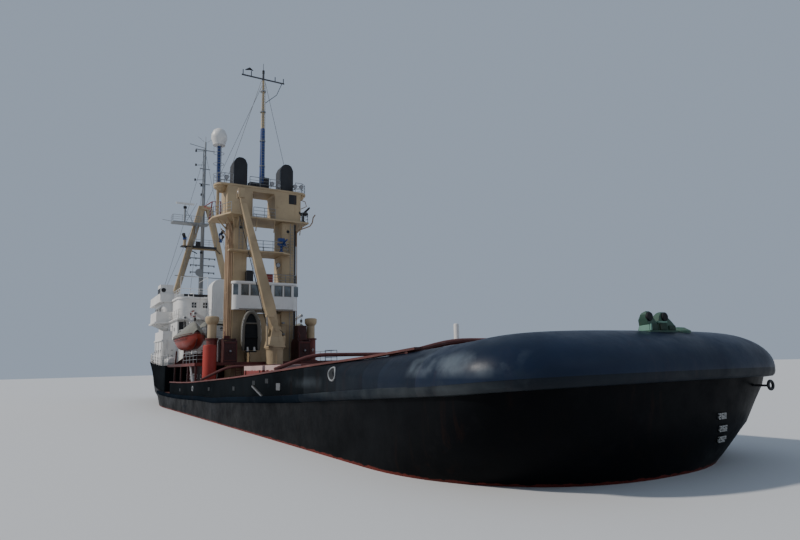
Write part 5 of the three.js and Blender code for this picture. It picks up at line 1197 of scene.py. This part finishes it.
def add_house_rails():
    rails = Shape()
    deck = deck_a(NARROW_AFT)
    railing(rails, [(63.9, 5.6, deck_a(63.9)), (NARROW_AFT, 5.6, deck), (NARROW_AFT, -5.6, deck),
                    (64.7, -5.6, deck_a(64.7))])
    for side in BOTH:
        railing(rails, [(x, side * (wide_half(x) - 0.06), deck_a(x) + 0.02) for x in (79, HOUSE_FORE)])
        for part in (BRIDGE_EDGE[:2], BRIDGE_EDGE[4:]):
            deck_rail(rails, BRIDGE_DECK_Z, [(x, side * y) for x, y in part])
        deck_rail(rails, WHEEL_ROOF_Z, [(66.3, side * 5.3), (70.8, side * 5.3)], spacing=1.1)
    for side in BOTH:
        deck_rail(rails, BRIDGE_DECK_Z, [(63.7, side * 5.8), (63.7, side * 1.9)])
    deck_rail(rails, BRIDGE_DECK_Z, [(80.7, 5.1), (80.7, -5.1)])
    deck_rail(rails, WHEEL_ROOF_Z, [(66.3, 5.2), (66.3, -5.2)], spacing=1.1)
    for y in (5.2, 1.8):
        rails.rod((66.4, y, 14.5), (66.4, y, 16.2), 0.03, 5)
    rails.path([(66.4, 5.2, 16.2), (66.4, 1.8, 16.25), (72.0, 1.8, 16.3)], 0.03, 5)
    ladder(rails, (63.4, 3.9, deck_a(63)), (64.6, 3.9, BRIDGE_DECK_Z), width=0.7, step=0.25)
    ladder(rails, (58.6, 4.9, BOAT_DECK_Z), (NARROW_AFT, 4.9, deck), width=0.7, step=0.25)
    ladder(rails, (64.62, 7.0, 4.9), (64.62, 7.0, deck_a(64.7)))
    ladder(rails, (66.1, -0.9, 10.7), (66.1, -0.9, 13.6))
    rails.make("house_rails", "white")


def add_house_trim():
    trim = Shape()
    for side in BOTH:
        for x in (65.2, 68.0, 70.5):
            y = side * (wide_half(x) + 0.06)
            trim.rod((x, y, 4.85), (x, y, deck_a(x) - 0.25), 0.05, 7)
        for x in (60.8, 63.4):
            y = side * (NARROW_HALF + 0.07)
            trim.rod((x, y, 4.8), (x, y, 7.6), 0.045, 7)
        trim.path([(x, side * (wide_half(x) + 0.1), deck_a(x) - 0.14) for x, _ in WIDE_TIER], 0.06, 6)
        trim.path([(x, side * (y + 0.1), BRIDGE_DECK_Z - 0.1) for x, y in BRIDGE_EDGE], 0.07, 6)
        for x in (71.2, 72.6, 74.0):
            trim.beam((x, side * 5.75, 9.6), (x, side * 7.5, 10.35), (0.06, 0.14), end=(0.06, 0.1))
        for y in (4.9, 4.4, 3.6, 2.4, 1.2):
            trim.rod((64.93, side * y, 8.0), (64.93, side * y, 10.3), 0.035, 6)
    trim.path([(63.6, 5.9, BRIDGE_DECK_Z - 0.1), (63.6, -5.9, BRIDGE_DECK_Z - 0.1)], 0.07, 6)
    trim.path([(59.9, 5.7, 7.76), (59.9, -5.7, 7.76)], 0.06, 6)
    for k in range(8):
        y = k * 0.45 - 1.6
        trim.box(63.64, 63.72, y, y + 0.1, 10.75, 13.9)
    for y, hood in ((4.75, [(0.17, 9.7), (0.26, 9.8), (0.26, 10.2), (0.0, 10.3)]),
                    (-3.9, [(0.17, 9.5), (0.3, 9.6), (0.3, 9.95), (0.0, 10.1)])):
        trim.lathe((61.3, y, 0), [(0.0, 7.9), (0.2, 7.9), *hood], 16)
    for x in (60.6, 62.6):
        for side in BOTH:
            trim.box(x, x + 1.2, side * 5.3 - 0.25, side * 5.3 + 0.25, 7.95, 8.65)
    trim.box(68.2, 69.9, -1.0, 1.0, WHEEL_ROOF_Z, 14.3)
    trim.lathe((69.0, 3.2, WHEEL_ROOF_Z), [(0.0, 0), (0.5, 0), (0.55, 0.35), (0.35, 0.75), (0.0, 0.9)])
    vent = [(0.0, 0), (0.12, 0), (0.1, 0.8), (0.28, 0.85), (0.28, 1.1), (0.0, 1.2)]
    for y in (3.5, 1.2, -2.2):
        trim.lathe((74.5, y, WHEEL_ROOF_Z), vent, 14)
    trim.make("house_trim", "white", bevel=0.01)

    dark = Shape()
    for k in range(6):
        y = 4.8 - 0.62 * k
        dark.box(66.12, 66.22, y - 0.5, y, 13.62, 13.92)
    for side in BOTH:
        disc = [(0.0, 0.0), (0.3, 0.0), (0.26, -0.05), (0.0, -0.06)]
        dark.lathe((71.08, side * 6.55, 14.95), disc, axis="x")
        dark.box(71.2, 73.2, side * 6.9, side * 6.98, 14.3, 15.2)
    # A black panel in the upper house's aft wall stands for an open doorway: painted shade of the dark room
    # behind it
    dark.box(64.93, 65.02, 4.68, 5.5, 8.3, 10.2)
    dark.lathe((66.6, 2.9, 16.9), [(0.0, 0), (0.52, 0.0), (0.5, 0.05), (0.0, 0.06)], 24, 1, axis="x")
    dark.rod((66.65, 2.9, 13.6), (66.65, 2.9, 16.9), 0.05, 6, 1)
    dark.box(66.1, 66.8, 2.3, 3.4, 13.5, 13.9)
    dark.make("house_dark_gear_and_doorway_shade", "funnel_black grey", bevel=0.01)

    rings = Shape()
    life_ring(rings, (66.08, 3.55, 11.35), "x")
    for side in BOTH:
        life_ring(rings, (57.0, side * 5.46, 3.4), "y")
    rings.make("life_rings", "red white")

    rafts = Shape()
    for side in BOTH:
        y = side * RAFT_Y
        for x in (61.4, 62.9):
            rafts.path([(x + d, y, 5.3) for d in (-0.62, -0.55, 0.55, 0.62)], [0.3, 0.4, 0.4, 0.3], 16)
            for d in (-0.35, 0.35):
                rafts.box(x + d - 0.05, x + d + 0.05, y - 0.42, y + 0.42, BOAT_DECK_Z, 5.2)
    rafts.make("raft_canisters", "white")


def finish_cloth(obj):
    """Round the folds of a sheet and thicken it, and return the area of its mesh."""
    smooth = obj.modifiers.new("smooth", "SUBSURF")
    smooth.levels = 2
    smooth.render_levels = 2
    thick = obj.modifiers.new("cloth", "SOLIDIFY")
    thick.thickness = 0.0012
    thick.offset = 0
    return sum(face.area for face in obj.data.polygons)


def add_deck_cover():
    tent = Shape()
    rows = []
    for k in range(13):
        u = k / 12
        x = lerp(60.7, 63.5, u)
        peak = 1.05 + 1.35 * math.sin(math.pi * clamp(u, 0.06, 0.94)) ** 0.35
        sag = 0.06 * math.sin(4 * math.pi * u)
        section = [(3.9, 0.12), (3.85, 0.9), (3.3, peak * 0.86 + sag), (2.3, peak - sag), (1.2, peak + sag),
                   (0.2, peak * 0.97), (-0.6, peak * 0.8), (-1.0, 0.9), (-1.05, 0.12)]
        rows.append([(x, y, 7.92 + h) for y, h in section])
    tent.sheet(rows)
    cover = tent.make("deck_cover", "canvas")
    area = finish_cloth(cover)


# Boats

BOAT_X = 55.5
BOAT_Y = 6.05
BOAT_KEEL = 6.3
BOAT_HALF_LENGTH = 4.3
BOAT_HALF_BEAM = 1.32
DAVIT_X = 2.8
DAVIT_HEAD_Z = 10.15
CHOCK_X = DAVIT_X - 0.5


def boat_station(u):
    """Half breadth, keel and gunwale of the lifeboat at u from -1 at the stern to 1 at the stem."""
    half = BOAT_HALF_BEAM * max(1 - abs(u) ** 2.7, 0.0) ** 0.62 + 0.05
    keel = 1.12 * abs(u) ** 4.5
    gunwale = 1.5 + 0.22 * abs(u) ** 2.2
    return half, keel, gunwale


def add_boat_shell(name, y0):
    shell = Shape()
    steps, around = 34, 9
    rings = []
    for k in range(steps + 1):
        u = math.sin(math.pi * (k / steps - 0.5))
        half, keel, gunwale = boat_station(u)
        x = BOAT_X + u * BOAT_HALF_LENGTH
        wall = []
        for i in range(around + 1):
            a = math.pi / 2 * i / around
            wall.append((half * math.sin(a) ** 0.75, lerp(keel, gunwale, 1 - math.cos(a) ** 1.25)))
        ring = wall + [(-y, z) for y, z in reversed(wall[1:])]
        rings.append([(x, y0 + y, BOAT_KEEL + z) for y, z in ring])
    shell.loft(rings)
    keel_line = []
    gunwales = ([], [])
    for k in range(25):
        u = lerp(-1, 1, k / 24)
        half, keel, gunwale = boat_station(u)
        x = BOAT_X + u * BOAT_HALF_LENGTH
        keel_line.append((x, y0, BOAT_KEEL + keel - 0.02))
        for line, sign in zip(gunwales, BOTH):
            line.append((x, y0 + sign * (half + 0.02), BOAT_KEEL + gunwale - 0.05))
    shell.path(keel_line, 0.07, 6, 1)
    for line, sign in zip(gunwales, BOTH):
        shell.path(line, 0.075, 8, 1)
        shell.path([(x, y0 + (y - y0) * 0.985, z - 0.42) for x, y, z in line[3:-3]], 0.035, 6, 1)
        for a, b in zip(line[2:-3:2], line[4:-1:2]):
            middle = tuple((p + q) / 2 for p, q in zip(a, b))
            hangs = ((a, 0.08), (middle, 0.3), (b, 0.08))
            shell.path([(x, y + sign * 0.05, z - drop) for (x, y, z), drop in hangs], 0.022, 5, 2)
    for end in (-1, 1):
        x = BOAT_X + end * BOAT_HALF_LENGTH
        shell.beam((x - end * 0.5, y0, BOAT_KEEL + 0.45), (x + end * 0.03, y0, BOAT_KEEL + 1.78),
                   (0.09, 0.12), PORT, 1)
        fall = BOAT_X + end * DAVIT_X
        shell.rod((fall, y0, BOAT_KEEL + 1.6), (fall, y0, DAVIT_HEAD_Z - 0.25), 0.03, 6, 2)
        shell.box(fall - 0.14, fall + 0.14, y0 - 0.1, y0 + 0.1, BOAT_KEEL + 3.05, BOAT_KEEL + 3.4, 2)
    shell.make("lifeboat_shell_" + name, "orange dark_red wire", body="lifeboat_" + name, sharp=45,
               weld=True, replaces="lifeboat_" + name)


def add_boat_cover(name, y0):
    cover = Shape()
    rows = []
    for k in range(25):
        u = lerp(-0.985, 0.985, k / 24)
        half, _, gunwale = boat_station(u)
        reach = (u + 0.5) / (1.5 if u > -0.5 else 0.5)
        rise = 0.25 + 1.35 * (1 - abs(reach) ** 1.8)
        sag = 0.05 * math.cos(8 * math.pi * u)
        section = [(half + 0.1, -0.16), (half + 0.08, 0.04), (half * 0.66, rise * 0.42 + sag),
                   (half * 0.3, rise * 0.76 + sag * 0.5), (0, rise)]
        row = section + [(-y, h) for y, h in reversed(section[:-1])]
        rows.append([(BOAT_X + u * BOAT_HALF_LENGTH, y0 + y, BOAT_KEEL + gunwale + h) for y, h in row])
    cover.sheet(rows)
    cloth = cover.make("lifeboat_cover_" + name, "canvas", body="lifeboat_" + name)
    area = finish_cloth(cloth)


def add_davit_fittings(name, side):
    chocks = Shape()
    for place in (BOAT_X - CHOCK_X, BOAT_X + CHOCK_X):
        outline = [(4.85, 4.8), (6.95, 4.8), (6.95, 4.95), (5.3, 6.2), (4.85, 6.25)]
        chocks.prism([(side * y, z) for y, z in outline], place - 0.06, place + 0.06, "x", 2)
        chocks.beam((place, side * 7.0, 4.8), (place, side * 6.9, 6.3), (0.14, 0.18), end=(0.12, 0.14))
        chocks.beam((place, side * 4.75, 4.85), (place, side * 7.05, 4.85), (0.16, 0.16))
        chocks.box(place - 0.2, place + 0.2, side * 5.7 - 0.5, side * 5.7 + 0.5, 5.85, 6.2, 1)
    chocks.make("boat_chocks_" + name, "dark_red white maroon", bevel=0.01)

    davit = Shape()
    for place in (BOAT_X - DAVIT_X, BOAT_X + DAVIT_X):
        davit.drum((place, side * BOAT_Y, DAVIT_HEAD_Z), 0.12, -0.17, 0.17, 12, axis="x")
        wire = place + 0.16
        bend = (wire, side * 4.65, 9.2)
        davit.rod((wire, side * 4.65, 5.2), bend, 0.02, 5)
        davit.path([bend, (wire, side * 5.9, 10.3)], 0.02, 5)
    davit.make("davit_sheaves_" + name, "steel", body="davits_" + name)


def add_inflatable():
    """Inflatable boat stowed on end against the tower."""
    x, y0, z0 = 46.68, 1.7, 5.75
    half = [(0.8, 0.2), (0.85, 1.0), (0.86, 1.8), (0.84, 2.6), (0.74, 3.2), (0.55, 3.7), (0.3, 4.02),
            (0.0, 4.13)]
    outline = [(y0 + y, z0 + z) for y, z in half] + [(y0 - y, z0 + z) for y, z in reversed(half[:-1])]
    line = [(x - 0.04, y, z) for y, z in outline]
    boat = Shape()
    boat.path(line, [0.1] + [0.2] * (len(line) - 2) + [0.1], 14)
    boat.prism(outline, x + 0.02, x + 0.14, "x", 1)
    for lift, radius, paint in ((2.95, 0.08, 0), (1.5, 0.07, 1)):
        boat.path([(x - 0.05, y0 + d, z0 + lift) for d in (-0.72, 0.72)], radius, 10, paint)
    for d in (-0.36, 0.36):
        boat.path([(x - 0.08, y0 + d, z0 + 0.03), (x - 0.05, y0 + d * 0.95, z0 + 0.55)], [0.14, 0.08], 10, 2)
    rope = [(px - 0.15, y0 + (py - y0) * 1.12, pz + 0.02) for px, py, pz in line[1:-1]]
    for a, b in zip(rope, rope[1:]):
        middle = tuple((p + q) / 2 for p, q in zip(a, b))
        boat.path([a, (middle[0] - 0.02, lerp(y0, middle[1], 1.04), middle[2] - 0.03), b], 0.018, 5, 2)
    boat.box(x - 0.22, x + 0.1, y0 - 0.55, y0 + 0.55, z0 + 0.02, z0 + 0.14, 1)
    boat.make("inflatable_tubes", "rubber_grey rubber_black white",
              replaces="inflatable_boat")


# Winches, ventilators, crane and working deck

DRUM_X = 46.35
DRUM_Z = 5.85
VENT_X = 46.9
CRANE_X = 44.3
JIB_FOOT_Z = 7.9
JIB_LENGTH = 14.2
JIB_SLOPE = math.radians(75)


def add_winch_fittings():
    wire = [(0.5, -0.05), (0.56, -0.025), (0.56, 0.025), (0.5, 0.05)]
    for name, y in (("port", 4.15), ("starboard", -3.55)):
        coil = Shape()
        for k in range(9):
            coil.lathe((DRUM_X, y - 0.4 + 0.1 * k, DRUM_Z), wire, 28, 0, "y")
        coil.make("wire_coil_" + name, "wire", body="winch_drum_" + name)
        gear = Shape()
        hub = [(0.0, -0.14), (0.09, -0.14), (0.11, -0.04), (0.11, 0.05), (0.0, 0.05)]
        gear.lathe((DRUM_X - 1.16, y, DRUM_Z), hub, 14, 1, "x")
        for c, s in turn(6):
            bolt_y, bolt_z = y + 0.36 * c, DRUM_Z + 0.36 * s
            gear.rod((DRUM_X - 1.2, bolt_y, bolt_z), (DRUM_X - 1.1, bolt_y, bolt_z), 0.045, 6)
        for edge in (-0.62, 0.62):
            gear.box(DRUM_X - 1.17, DRUM_X - 1.12, y + edge - 0.05, y + edge + 0.05, 4.85, 6.7)
        for z in (4.9, 6.6):
            gear.box(DRUM_X - 1.17, DRUM_X - 1.12, y - 0.66, y + 0.66, z, z + 0.1)
        lever = [(DRUM_X - 0.9, y + 0.5, 7.1), (DRUM_X - 1.0, y + 0.5, 7.5), (DRUM_X - 0.6, y + 0.5, 7.8)]
        gear.path(lever, 0.05, 7)
        gear.lathe((DRUM_X + 0.3, y, 7.1), [(0.0, 0.0), (0.3, 0.0), (0.3, 0.3), (0.0, 0.34)], 16)
        gear.make("winch_gear_" + name, "dark_red lamp_glass", bevel=0.012)


def add_vent_fittings():
    vents = Shape()
    mouth = [(0.44, 8.55), (0.5, 8.6), (0.62, 8.78), (0.66, 8.95), (0.66, 9.22), (0.6, 9.32), (0.4, 9.36)]
    for y in (5.55, -4.9):
        vents.collar((VENT_X, y, 0), 0.44, 0.64, 7.04, 7.18, 28)
        vents.lathe((VENT_X, y, 0), mouth, 28, 1)
        vents.lathe((VENT_X, y, 0), [(0.52, 4.72), (0.72, 4.76), (0.72, 4.86), (0.52, 4.9)], 28)
        x = VENT_X - 0.62
        for z in (5.25, 5.95):
            vents.rod((x, y - 0.14, z), (x, y + 0.14, z), 0.028, 6, 2)
            vents.rod((x, y, z - 0.16), (x, y, z + 0.16), 0.028, 6, 2)
            vents.rod((VENT_X - 0.66, y, z), (VENT_X - 0.4, y, z), 0.04, 6)
    vents.lathe((44.35, 6.3, 0), [(0.62, 1.95), (0.62, 6.3), (0.58, 6.42), (0.0, 6.46)], 28, 3)
    vents.lathe((44.35, 6.3, 0), [(0.62, 1.92), (0.74, 1.92), (0.74, 2.02), (0.62, 2.05)], 28, 3)
    vents.make("vent_fittings", "dark_red buff white vent_red", bevel=0.008)


def add_crane_fittings():
    centre = (CRANE_X, 0, 0)
    base = Shape()
    base.collar(centre, 0.8, 0.9, 5.96, 6.08, 32)
    base.lathe(centre, [(0.83, 1.9), (1.1, 1.92), (1.1, 2.05), (0.83, 2.3)], 32)
    ladder(base, (43.42, 0.3, 2.1), (43.42, 0.3, 5.9))
    base.make("pedestal_flange", "buff")
    turret = Shape()
    turret.collar(centre, 0.85, 0.93, 6.11, 6.2, 32)
    turret.rod((43.45, 1.0, 6.4), (43.45, 1.1, 9.2), 0.06, 10, 1)
    turret.rod((43.45, 1.05, 6.35), (43.45, 1.09, 8.2), 0.11, 12)
    turret.box(43.3, 43.7, 0.4, 1.2, 6.25, 6.4)
    turret.box(43.3, 43.6, 0.4, 1.2, 9.1, 9.3)
    turret.drum((CRANE_X - 0.6, 0, JIB_FOOT_Z), 0.2, -0.06, 0.02, 16, axis="x")
    turret.box(44.0, 44.6, -1.0, -0.55, 6.5, 7.3)
    turret.path([(44.05, -0.75, 7.2), (43.74, -0.65, 7.6), (43.72, -0.3, JIB_FOOT_Z)], 0.035, 6, 2)
    turret.make("crane_cylinder", "buff steel rubber_black", body="crane_turret", bevel=0.01)
    jib = Shape()
    up = Vector((0, math.cos(JIB_SLOPE), math.sin(JIB_SLOPE)))
    out = Vector((0, -math.sin(JIB_SLOPE), math.cos(JIB_SLOPE)))
    foot = Vector((CRANE_X, 0, JIB_FOOT_Z))
    head = foot + up * JIB_LENGTH
    for share in (0.2, 0.35, 0.5, 0.65, 0.8, 0.93):
        place = foot + up * JIB_LENGTH * share
        jib.beam(place - up * 0.04, place + up * 0.04, (lerp(0.84, 0.5, share), lerp(1.12, 0.52, share)))
    for dx in (-0.2, 0.2):
        low = foot + Vector((dx, 0, 0)) - out * 0.7 + up * 1.5
        jib.rod(low, head + Vector((dx * 0.6, 0, 0)) - out * 0.3, 0.018, 5, 2)
    sheave = [(0.0, -0.12), (0.3, -0.12), (0.24, 0.0), (0.3, 0.12), (0.0, 0.12)]
    jib.lathe(head + up * 0.1, sheave, 18, 1, "x")
    for x0, x1 in ((43.95, 44.1), (44.5, 44.65)):
        jib.box(x0, x1, head.y - 0.3, head.y + 0.3, head.z - 0.5, head.z + 0.45)
    hook = head + out * 0.25
    jib.rod(hook, hook - UP * 1.0, 0.03, 6, 2)
    jib.lathe(hook - UP * 1.15, [(0.0, -0.2), (0.13, -0.15), (0.13, 0.15), (0.0, 0.2)], 10, 1)
    jib.path([foot + up * s - out * 0.6 + Vector((0.3, 0, 0)) for s in (0.8, 3, 6, 9, 12)], 0.035, 6, 2)
    jib.make("jib_fittings", "buff steel rubber_black", body="crane_jib", bevel=0.008)


# Ways and seats along the bulwark that its frames leave free
FRAME_GAPS = ((12, 14), (21, 31.5), (33, 35.2))
SHOE = [(0.0, 0), (0.35, 0), (0.3, 0.1), (0.18, 0.15), (0.18, 0.75), (0.3, 0.8), (0.3, 0.9), (0.0, 0.95)]
AIR_PIPE = [(0.0, 0.0), (0.15, 0.0), (0.13, 0.7), (0.3, 0.78), (0.3, 1.0), (0.0, 1.08)]


def add_deck_fittings():
    frames = Shape()
    for side in BOTH:
        x = 8.5
        while x < 55:
            if fade_crown(x) < 0.3 and not any(low < x < high for low, high in FRAME_GAPS):
                head = bulwark_top(x) - 0.05
                reach = min(7.5, side_skin(x, head) - 0.25)
                frames.beam((x, side * 7.0, deck_z(x)), (x, side * reach, head), (0.05, 0.3),
                            end=(0.05, 0.12))
            x += 1.3
    for x0, x1 in ((22.6, 25.8), (26.4, 30.7)):
        for x in (x0 + 0.5, x1 - 0.5):
            frames.box(x - 0.05, x + 0.05, 6.86, 6.96, 3.3, 4.0)
        frames.box(x0, x1, 5.56, 5.62, 3.0, 3.12)
    frames.make("bulwark_frames", "dark_red")

    gear = Shape()
    gear.box(30.5, 33.0, -1.2, 1.2, 2.0, 2.75)
    gear.box(30.4, 33.1, -1.3, 1.3, 2.72, 2.84)
    gear.box(16.0, 17.6, -0.8, 0.8, 2.6, 3.15)
    for y in (-2.6, 2.6):
        gear.lathe((36.5, y, 1.9), SHOE, 18, 1)
        gear.lathe((20.0, y, 2.55), [(0.0, 0), (0.3, 0), (0.3, 0.35), (0.0, 0.4)], 18, 1)
    for x, y in ((40.0, -5.2), (40.0, 5.2), (18.8, 4.6), (18.8, -4.6)):
        gear.lathe((x, y, deck_z(x)), AIR_PIPE, 14)
    gear.beam((10.5, -3.2, 3.15), (10.5, 3.2, 3.15), (0.3, 0.25), FORE, 1)
    for y in (-3.2, 3.2):
        gear.rod((10.5, y, 3.0), (10.5, y, 4.3), 0.18, 12, 1)
    for side in BOTH:
        gear.path([(x, side * 7.35, deck_z(x) + 0.35) for x in (14.5, 20, 30, 36, 44)], 0.06, 6)
    gear.make("deck_gear", "dark_red steel", bevel=0.02)

    rails = Shape()
    for side in BOTH:
        deck_rail(rails, BOAT_DECK_Z, [(45.3, side * 7.25), (51.5, side * 7.32)])
        railing(rails, [(59.3, side * 7.5, BOAT_DECK_Z), (64.5, side * 7.5, BOAT_DECK_Z + 0.05)])
        rails.beam((47.9, side * 7.3, 4.6), (46.9, side * 7.3, 3.0), (0.14, 0.1), PORT, 1)
        rails.box(45.2, 59.4, side * 7.42 - 0.05, side * 7.42 + 0.05, 4.5, 4.78, 2)
        ladder(rails, (44.2, side * 3.4, 1.95), (45.15, side * 3.4, BOAT_DECK_Z), width=0.6, step=0.25,
               paint=2)
    deck_rail(rails, BOAT_DECK_Z, [(45.3, 7.25), (45.3, 6.3)])
    deck_rail(rails, BOAT_DECK_Z, [(45.3, -5.9), (45.3, -7.25)])
    rails.box(45.16, 45.24, -7.3, 7.3, 4.5, 4.78, 2)
    rails.make("boat_deck_rails", "grey white dark_red")


# Marks and small things on the hull

SEGMENTS = {"0": "abcdef", "2": "abged", "5": "afgcd", "6": "afgcde"}
DIGIT_HEIGHT = 0.22
DIGIT_STEP = 0.19


def stern_x(y, z):
    """Place of the stern's plating at a height above the waterline."""
    aft, _, half, run, power, _, _ = hull_ring(min(z, TOP_LEVEL))
    if z > TOP_LEVEL:
        aft = lerp(aft, UNDER_DECK[0], clamp((z - TOP_LEVEL) / 1.2))
    across = clamp(y / half) ** (power / 2)
    return aft + run * (1 - max(1 - across * across, 0) ** (1 / power))


def add_digit(shape, digit, y, z):
    """A plain digit on the stern, seen from astern, out of straight bars."""
    height = DIGIT_HEIGHT
    wide, bar = height * 0.6, height * 0.2
    half = height / 2
    bars = {"a": (0, wide, height - bar, height), "g": (0, wide, (height - bar) / 2, (height + bar) / 2),
            "d": (0, wide, 0, bar), "f": (0, bar, half, height), "b": (wide - bar, wide, half, height),
            "e": (0, bar, 0, half), "c": (wide - bar, wide, 0, half)}
    for name in SEGMENTS[digit]:
        u0, u1, v0, v1 = bars[name]
        x = stern_x(abs(y), z + (v0 + v1) / 2)
        shape.box(x - 0.05, x + 0.1, y - u1, y - u0, z + v0, z + v1)


def add_hull_marks():
    rims = Shape()
    for side in BOTH:
        for x, z, r in ((12.79, 3.77, 0.3), (44.0, 2.45, 0.2)):
            ring = [(x + r * 1.25 * c, side_skin(x, z + r * s), z + r * s) for c, s in turn(24)]
            rims.path([(px, side * (py + 0.01), pz) for px, py, pz in ring], 0.045, 8, 0, closed=True)
            # A black sleeve inside each round opening: painted shade in the hole
            rims.loft([[(px, side * (py + out), pz) for px, py, pz in ring] for out in (-0.03, 0.02)], 1)
        near, far = sorted((side * HALF_BEAM, side * (HALF_BEAM + 0.03)))
        for x, z in ((25.2, 3.2), (22.57, 3.35), (37.58, 2.55), (30.0, 2.75), (50.0, 2.2)):
            # Black plates for the smaller openings in the side: painted shade in the holes
            rims.box(x - 0.3, x + 0.3, near, far, z - 0.14, z + 0.14, 1)
    rims.make("bulwark_openings", "grey rubber_black")

    steel = Shape()
    for side in BOTH:
        y = side * (HALF_BEAM + 0.03)
        steel.box(20.1, 20.75, y - 0.03, y + 0.03, 2.85, 3.25)
        steel.beam((25.4, y, 3.0), (23.3, y, 2.42), (0.14, 0.1), PORT)
    steel.make("side_plates", "steel")

    lug = Shape()
    lug.path([(0.18, -5.02 + 0.17 * c, 2.97 + 0.16 * s) for c, s in turn(20)], 0.06, 8, closed=True)
    lug.box(0.12, 0.9, -4.86, -4.72, 2.92, 3.0)
    lug.make("stern_lug", "funnel_black", bevel=0.02)

    marks = Shape()
    for left, level, value in ((-2.0, 1.84, "260"), (-2.1, 1.38, "256"), (-2.24, 0.97, "252")):
        for k, digit in enumerate(value):
            add_digit(marks, digit, left - DIGIT_STEP * k, level)
    marks.make("draught_marks", "white_mark")


def add_tow_pins():
    pins = Shape()
    aft = 1.3
    roller = [(0.0, -0.04), (0.15, -0.04), (0.17, 0.0), (0.17, 0.06), (0.0, 0.06)]
    for y in (0.46, -0.42):
        pins.lathe((aft - 0.03, y, 5.62), roller, 16, 0, "x")
    for y0, y1, high in ((0.06, 0.42, 5.36), (-0.5, -0.1, 5.36), (-1.0, -0.62, 5.3)):
        pins.box(aft - 0.05, aft + 0.02, y0, y1, 5.14, high, 1)
    # Paint 2 lays thin lighter-green plates on the port and top faces: painted sunlight
    pins.box(aft - 0.06, aft + 0.02, 0.4, 0.47, 5.12, 5.36, 2)
    pins.prism([(aft, 4.7), (aft, 5.34), (1.72, 5.3), (1.79, 5.12), (1.88, 4.7)], 0.472, 0.49, "y", 2)
    pins.box(aft - 0.05, aft + 0.04, -0.52, 0.0, 5.4, 5.46, 2)
    pins.make("tow_pin_rollers", "rubber_black green_dark green_light", bevel=0.015)


def add_foredeck_fittings():
    gear = Shape()
    post = [(0.0, 0.0), (0.16, 0.0), (0.15, 0.6), (0.2, 0.65), (0.0, 0.72)]
    for side in BOTH:
        for x, y in ((86.0, 2.2), (83.0, 4.2)):
            for d in (-0.4, 0.4):
                gear.lathe((x + d, side * y, fore_deck_z(x)), post, 14)
        links = ((84.6, 1.05, 0.9), (85.4, 1.3, 0.3), (86.2, 1.6, 0.12), (87.0, 2.0, 0.1))
        gear.path([(x, side * y, fore_deck_z(x) + lift) for x, y, lift in links], 0.09, 7, 1)
        pipe_mouth = [(0.0, 0.02), (0.35, 0.02), (0.35, 0.18), (0.0, 0.2)]
        gear.lathe((87.0, side * 2.0, fore_deck_z(87)), pipe_mouth, 18, 1)
    gear.box(82.1, 82.9, -0.8, 0.8, 5.9, 6.6, 2)
    gear.rod((91.2, 0, 8.0), (91.2, 0, 9.6), 0.06)
    gear.make("foredeck_gear", "dark_red steel white", bevel=0.015)
    rails = Shape()
    for side in BOTH:
        railing(rails, [(x, side * (forecastle_half(x) - 0.1), fore_deck_z(x) + 0.02)
                        for x in (64.8, 68, 72, 76, 79, 81.6)], height=1.05)
    rails.make("forecastle_rails", "white")


add_tower_structure()
add_tower_gear()
add_cabin()
add_mast_fittings()
add_wheelhouse_glass()
add_house_openings()
add_house_rails()
add_house_trim()
add_deck_cover()
for boat_name, boat_side in SIDES:
    add_boat_shell(boat_name, boat_side * BOAT_Y)
    add_boat_cover(boat_name, boat_side * BOAT_Y)
    add_davit_fittings(boat_name, boat_side)
add_inflatable()
add_winch_fittings()
add_vent_fittings()
add_crane_fittings()
add_deck_fittings()
add_hull_marks()
add_tow_pins()
add_foredeck_fittings()

# Stage and light

FLOOR_COLOUR = (0.60, 0.61, 0.62, 1)
SKY_COLOUR = (0.62, 0.74, 0.92, 1)
SKY_STRENGTH = 0.5
# Name, strength, angular size, turn in degrees and colour of each sun
LIGHTS = [("key", 3.0, 0.05, (51.5, 0, 157.4), (1.0, 0.94, 0.86)),
          ("fill", 0.12, 0.6, (60, 0, -60), (0.8, 0.88, 1.0))]
FLOOR_SIZE = 120


def add_stage():
    bpy.ops.mesh.primitive_plane_add(size=FLOOR_SIZE, location=(0, 0, 0))
    floor = bpy.context.object
    floor.name = "floor"
    material = bpy.data.materials.new("floor")
    material.use_nodes = True
    shader = material.node_tree.nodes["Principled BSDF"]
    shader.inputs["Base Color"].default_value = FLOOR_COLOUR
    shader.inputs["Roughness"].default_value = 0.75
    floor.data.materials.append(material)
    world = bpy.data.worlds.new("studio")
    world.use_nodes = True
    world.node_tree.nodes["Background"].inputs[0].default_value = SKY_COLOUR
    world.node_tree.nodes["Background"].inputs[1].default_value = SKY_STRENGTH
    bpy.context.scene.world = world
    for name, energy, angle, degrees, colour in LIGHTS:
        data = bpy.data.lights.new(name, "SUN")
        data.energy = energy
        data.angle = angle
        data.color = colour
        light = bpy.data.objects.new(name, data)
        light.rotation_euler = [math.radians(v) for v in degrees]
        bpy.context.scene.collection.objects.link(light)


add_stage()
